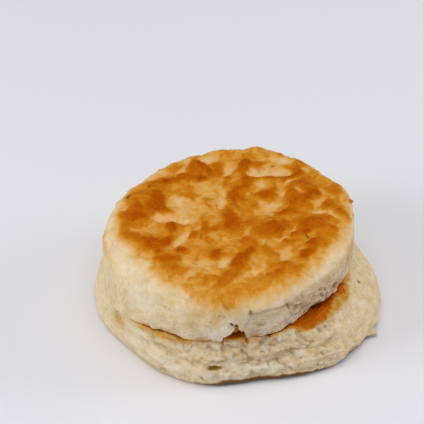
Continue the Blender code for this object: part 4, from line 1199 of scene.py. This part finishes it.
def bread_colour(graph, mottle, fine, grit, torn_shade, low_shade):
    """Crust, skin and torn crumb from the mesh's fields, broken up by three noises, with painted shade and
    highlight.
    """
    brown, torn_field = graph.field("brown"), graph.field("torn")
    swing = graph.times(graph.scaled(mottle, 0.36, -0.18), graph.math("ADD", brown, 0.15))
    level = graph.math("ADD", brown, swing, clamp=True)
    level = graph.math("ADD", level, graph.times(graph.scaled(fine, 0.5, -0.25), brown), clamp=True)
    bare = graph.math("SUBTRACT", 1.0, graph.times(level, 4.0, clamp=True), clamp=True)
    base = graph.ramp(level, *CRUST_STOPS)
    base = graph.mix(graph.times(graph.times(torn_field, bare), 0.66), base, torn_shade)
    cool = graph.rise(graph.noise(200.0, 3.0, 0.6), 0.4, 0.64)
    base = graph.mix(graph.times(graph.times(cool, bare), 0.22), base, FLOUR)
    patchy = graph.noise(400.0, 3.0, 0.6, (1.0, 1.0, 1.8))
    share = graph.times(graph.scaled(torn_field, 0.3, 0.3), bare)
    base = graph.mix(graph.times(graph.fall(patchy, 0.34, 0.48), share), base, TAN)
    base = graph.mix(graph.times(graph.rise(patchy, 0.52, 0.66), share), base, PALE_SKIN)
    broken = graph.scaled(fine, 1.4, 0.3)
    # The pale field is partly pale torn skin and partly painted highlight.
    for name, shade in (("stain", STAIN), ("pale", PALE_TORN_AND_HIGHLIGHT)):
        base = graph.mix(graph.times(graph.times(graph.field(name), broken, clamp=True), bare), base, shade)
    rise = graph.field("rise")
    low = graph.scaled(rise, -2.0, 1.0, clamp=True)
    high = graph.scaled(rise, 2.0, -1.0, clamp=True)
    # Painted shade where the relief dips and painted highlight on its crowns.
    base = graph.mix(graph.times(graph.times(low, bare), 0.75), base, low_shade)
    base = graph.mix(graph.times(graph.times(high, bare), 0.5), base, CROWN_HIGHLIGHT)
    amount = graph.scaled(torn_field, 0.14, 0.16)
    # Painted shade in the grain's pits and painted highlight on its peaks, where the same noise lowers and
    # raises the bump.
    base = graph.mix(graph.times(graph.fall(grit, 0.34, 0.48), amount), base, GRIT_PIT_SHADE, "MULTIPLY")
    base = graph.mix(graph.times(graph.times(graph.rise(grit, 0.52, 0.66), amount), bare), base, GRIT_PEAK_HIGHLIGHT)
    base = graph.mix(graph.times(graph.field("ember"), broken, clamp=True), base, EMBER)
    # The dark field is painted shade in cuts, pits, pinholes, gaps, recesses and the seam, and at the foot
    # partly the browned underside.
    dark = graph.field("dark")
    base = graph.mix(graph.times(dark, 1.2, clamp=True), base, PIT_SHADE_AND_UNDERSIDE_BROWN)
    base = graph.mix(graph.rise(dark, 0.55, 1.0), base, DARK)
    base = graph.mix(graph.field("moss"), base, MOSS)
    # Scorched specks of the crust and burnt mottling of the ledge, and painted shade in the notch and under
    # the lid's hem.
    return graph.mix(graph.field("scorch"), base, SCORCH_AND_SHADE_RED)


def bread_material(name, torn_shade, low_shade):
    graph = Graph(name)
    mottle = graph.noise(300.0, 4.0, 0.6)
    fine = graph.noise(1400.0, 3.0, 0.65)
    grit = graph.noise(2400.0, 2.0, 0.7, (1.0, 1.0, 2.2))
    height = graph.math("ADD", graph.times(mottle, 0.5), graph.times(fine, 0.5))
    height = graph.math("ADD", height, graph.times(grit, 0.3))
    settings = {
        "Base Color": bread_colour(graph, mottle, fine, grit, torn_shade, low_shade),
        "Normal": graph.bump(height, 0.0006, 0.9),
        "Roughness": 0.55,
        "Specular IOR Level": 0.04,
        "Specular Tint": (1.0, 0.75, 0.35, 1.0),
        "Subsurface Weight": 0.05,
        "Subsurface Radius": (1.0, 0.5, 0.2),
        "Subsurface Scale": 0.001,
    }
    for socket, value in settings.items():
        graph.feed(graph.shader.inputs[socket], value)
    return graph.material


def crust_material():
    return bread_material("browned_crust_and_skin", *LID_TORN_AND_HOLLOW_SHADES)


def lower_material():
    return bread_material("cream_crumb_and_flakes", *LOWER_TORN_AND_HOLLOW_SHADES)


def floor_material():
    graph = Graph("pale_floor")
    shade = graph.ramp(graph.noise(3.0, 2.0), (0.3, colour(233, 233, 238)), (0.7, colour(236, 236, 241)))
    graph.feed(graph.shader.inputs["Base Color"], shade)
    graph.shader.inputs["Roughness"].default_value = 0.6
    return graph.material


# --- stage ------------------------------------------------

CAMERA_PLACE = (-7.9, -529.7, 457.9)
CAMERA_TILT = 38.8
FOCAL_PIXELS = 2300.0
PHOTO_WIDTH = 424.0
SENSOR = 36.0

# Lamps: name, place and size in metres, power. All point at the middle of the biscuit.
LAMPS = (
    ("top", (0.0, -0.20, 1.00), 1.00, 4.2),
    ("key", (-0.80, -0.25, 0.50), 0.45, 3.1),
    ("fill", (0.80, 0.10, 0.38), 0.45, 2.1),
)
LAMP_TARGET = (0.0, 0.0, 0.015)
WORLD_STRENGTH = 0.34
# Corners of the floor, wide enough to fill the view behind the biscuit.
FLOOR = ((-3000, -2000, 0), (3000, -2000, 0), (3000, 6000, 0), (-3000, 6000, 0))


def add_camera(shift):
    """The camera at the photo's place and angle, moved with the biscuit into the frame."""
    data = bpy.data.cameras.new("camera")
    data.sensor_width = SENSOR
    data.lens = FOCAL_PIXELS / PHOTO_WIDTH * SENSOR
    data.clip_end = 20.0
    camera = bpy.data.objects.new("camera", data)
    bpy.context.scene.collection.objects.link(camera)
    camera.location = [(place - step) * MM for place, step in zip(CAMERA_PLACE, (*shift, 0.0))]
    camera.rotation_euler = (math.radians(90 - CAMERA_TILT), 0.0, 0.0)
    bpy.context.scene.camera = camera


def add_lamp(name, place, size, power):
    data = bpy.data.lights.new(name, "AREA")
    data.shape = "DISK"
    data.size = size
    data.energy = power
    lamp = bpy.data.objects.new(name, data)
    bpy.context.scene.collection.objects.link(lamp)
    lamp.location = place
    lamp.rotation_euler = (Vector(LAMP_TARGET) - Vector(place)).to_track_quat("-Z", "Y").to_euler()


def add_world():
    world = bpy.data.worlds.new("soft_studio")
    world.use_nodes = True
    back = world.node_tree.nodes["Background"]
    back.inputs["Color"].default_value = (0.99, 0.99, 1.0, 1.0)
    back.inputs["Strength"].default_value = WORLD_STRENGTH
    bpy.context.scene.world = world


def add_floor():
    quad, no_triangles = np.array([[0, 1, 2, 3]]), np.empty((0, 3), int)
    floor = make_object("pale_floor", np.array(FLOOR, float), quad, no_triangles)
    floor.data.materials.append(floor_material())


# --- putting it together ----------------------------------


def settle(body, shift):
    """Moves a piece from the drawing's own origin to the frame's."""
    flat = np.empty(len(body.data.vertices) * 3, np.float32)
    body.data.vertices.foreach_get("co", flat)
    points = flat.reshape(-1, 3)
    points[:, :2] -= np.array(shift, np.float32) * MM
    points[:, 2] = np.maximum(points[:, 2], 0.0)
    body.data.vertices.foreach_set("co", points.ravel())
    body.data.update()


def main():
    lower, lower_at = make_lower()
    lid = make_lid()
    low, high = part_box("biscuit_bottom")
    cad_middle = np.array([low.x + high.x, low.y + high.y]) / 2 / MM
    shift = (lower_at[:, :2].max(axis=0) + lower_at[:, :2].min(axis=0)) / 2 - cad_middle
    halves = (
        (lower, "biscuit_bottom", "cream_crumb", lower_material()),
        (lid, "biscuit_top", "browned_crust", crust_material()),
    )
    for body, node, slot, material in halves:
        body.data.materials.append(material)
        settle(body, shift)
        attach(body, "root")
        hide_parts(node)
    add_camera(shift)
    add_world()
    for lamp in LAMPS:
        add_lamp(*lamp)
    add_floor()
    bpy.context.scene.view_settings.view_transform = "Standard"


main()
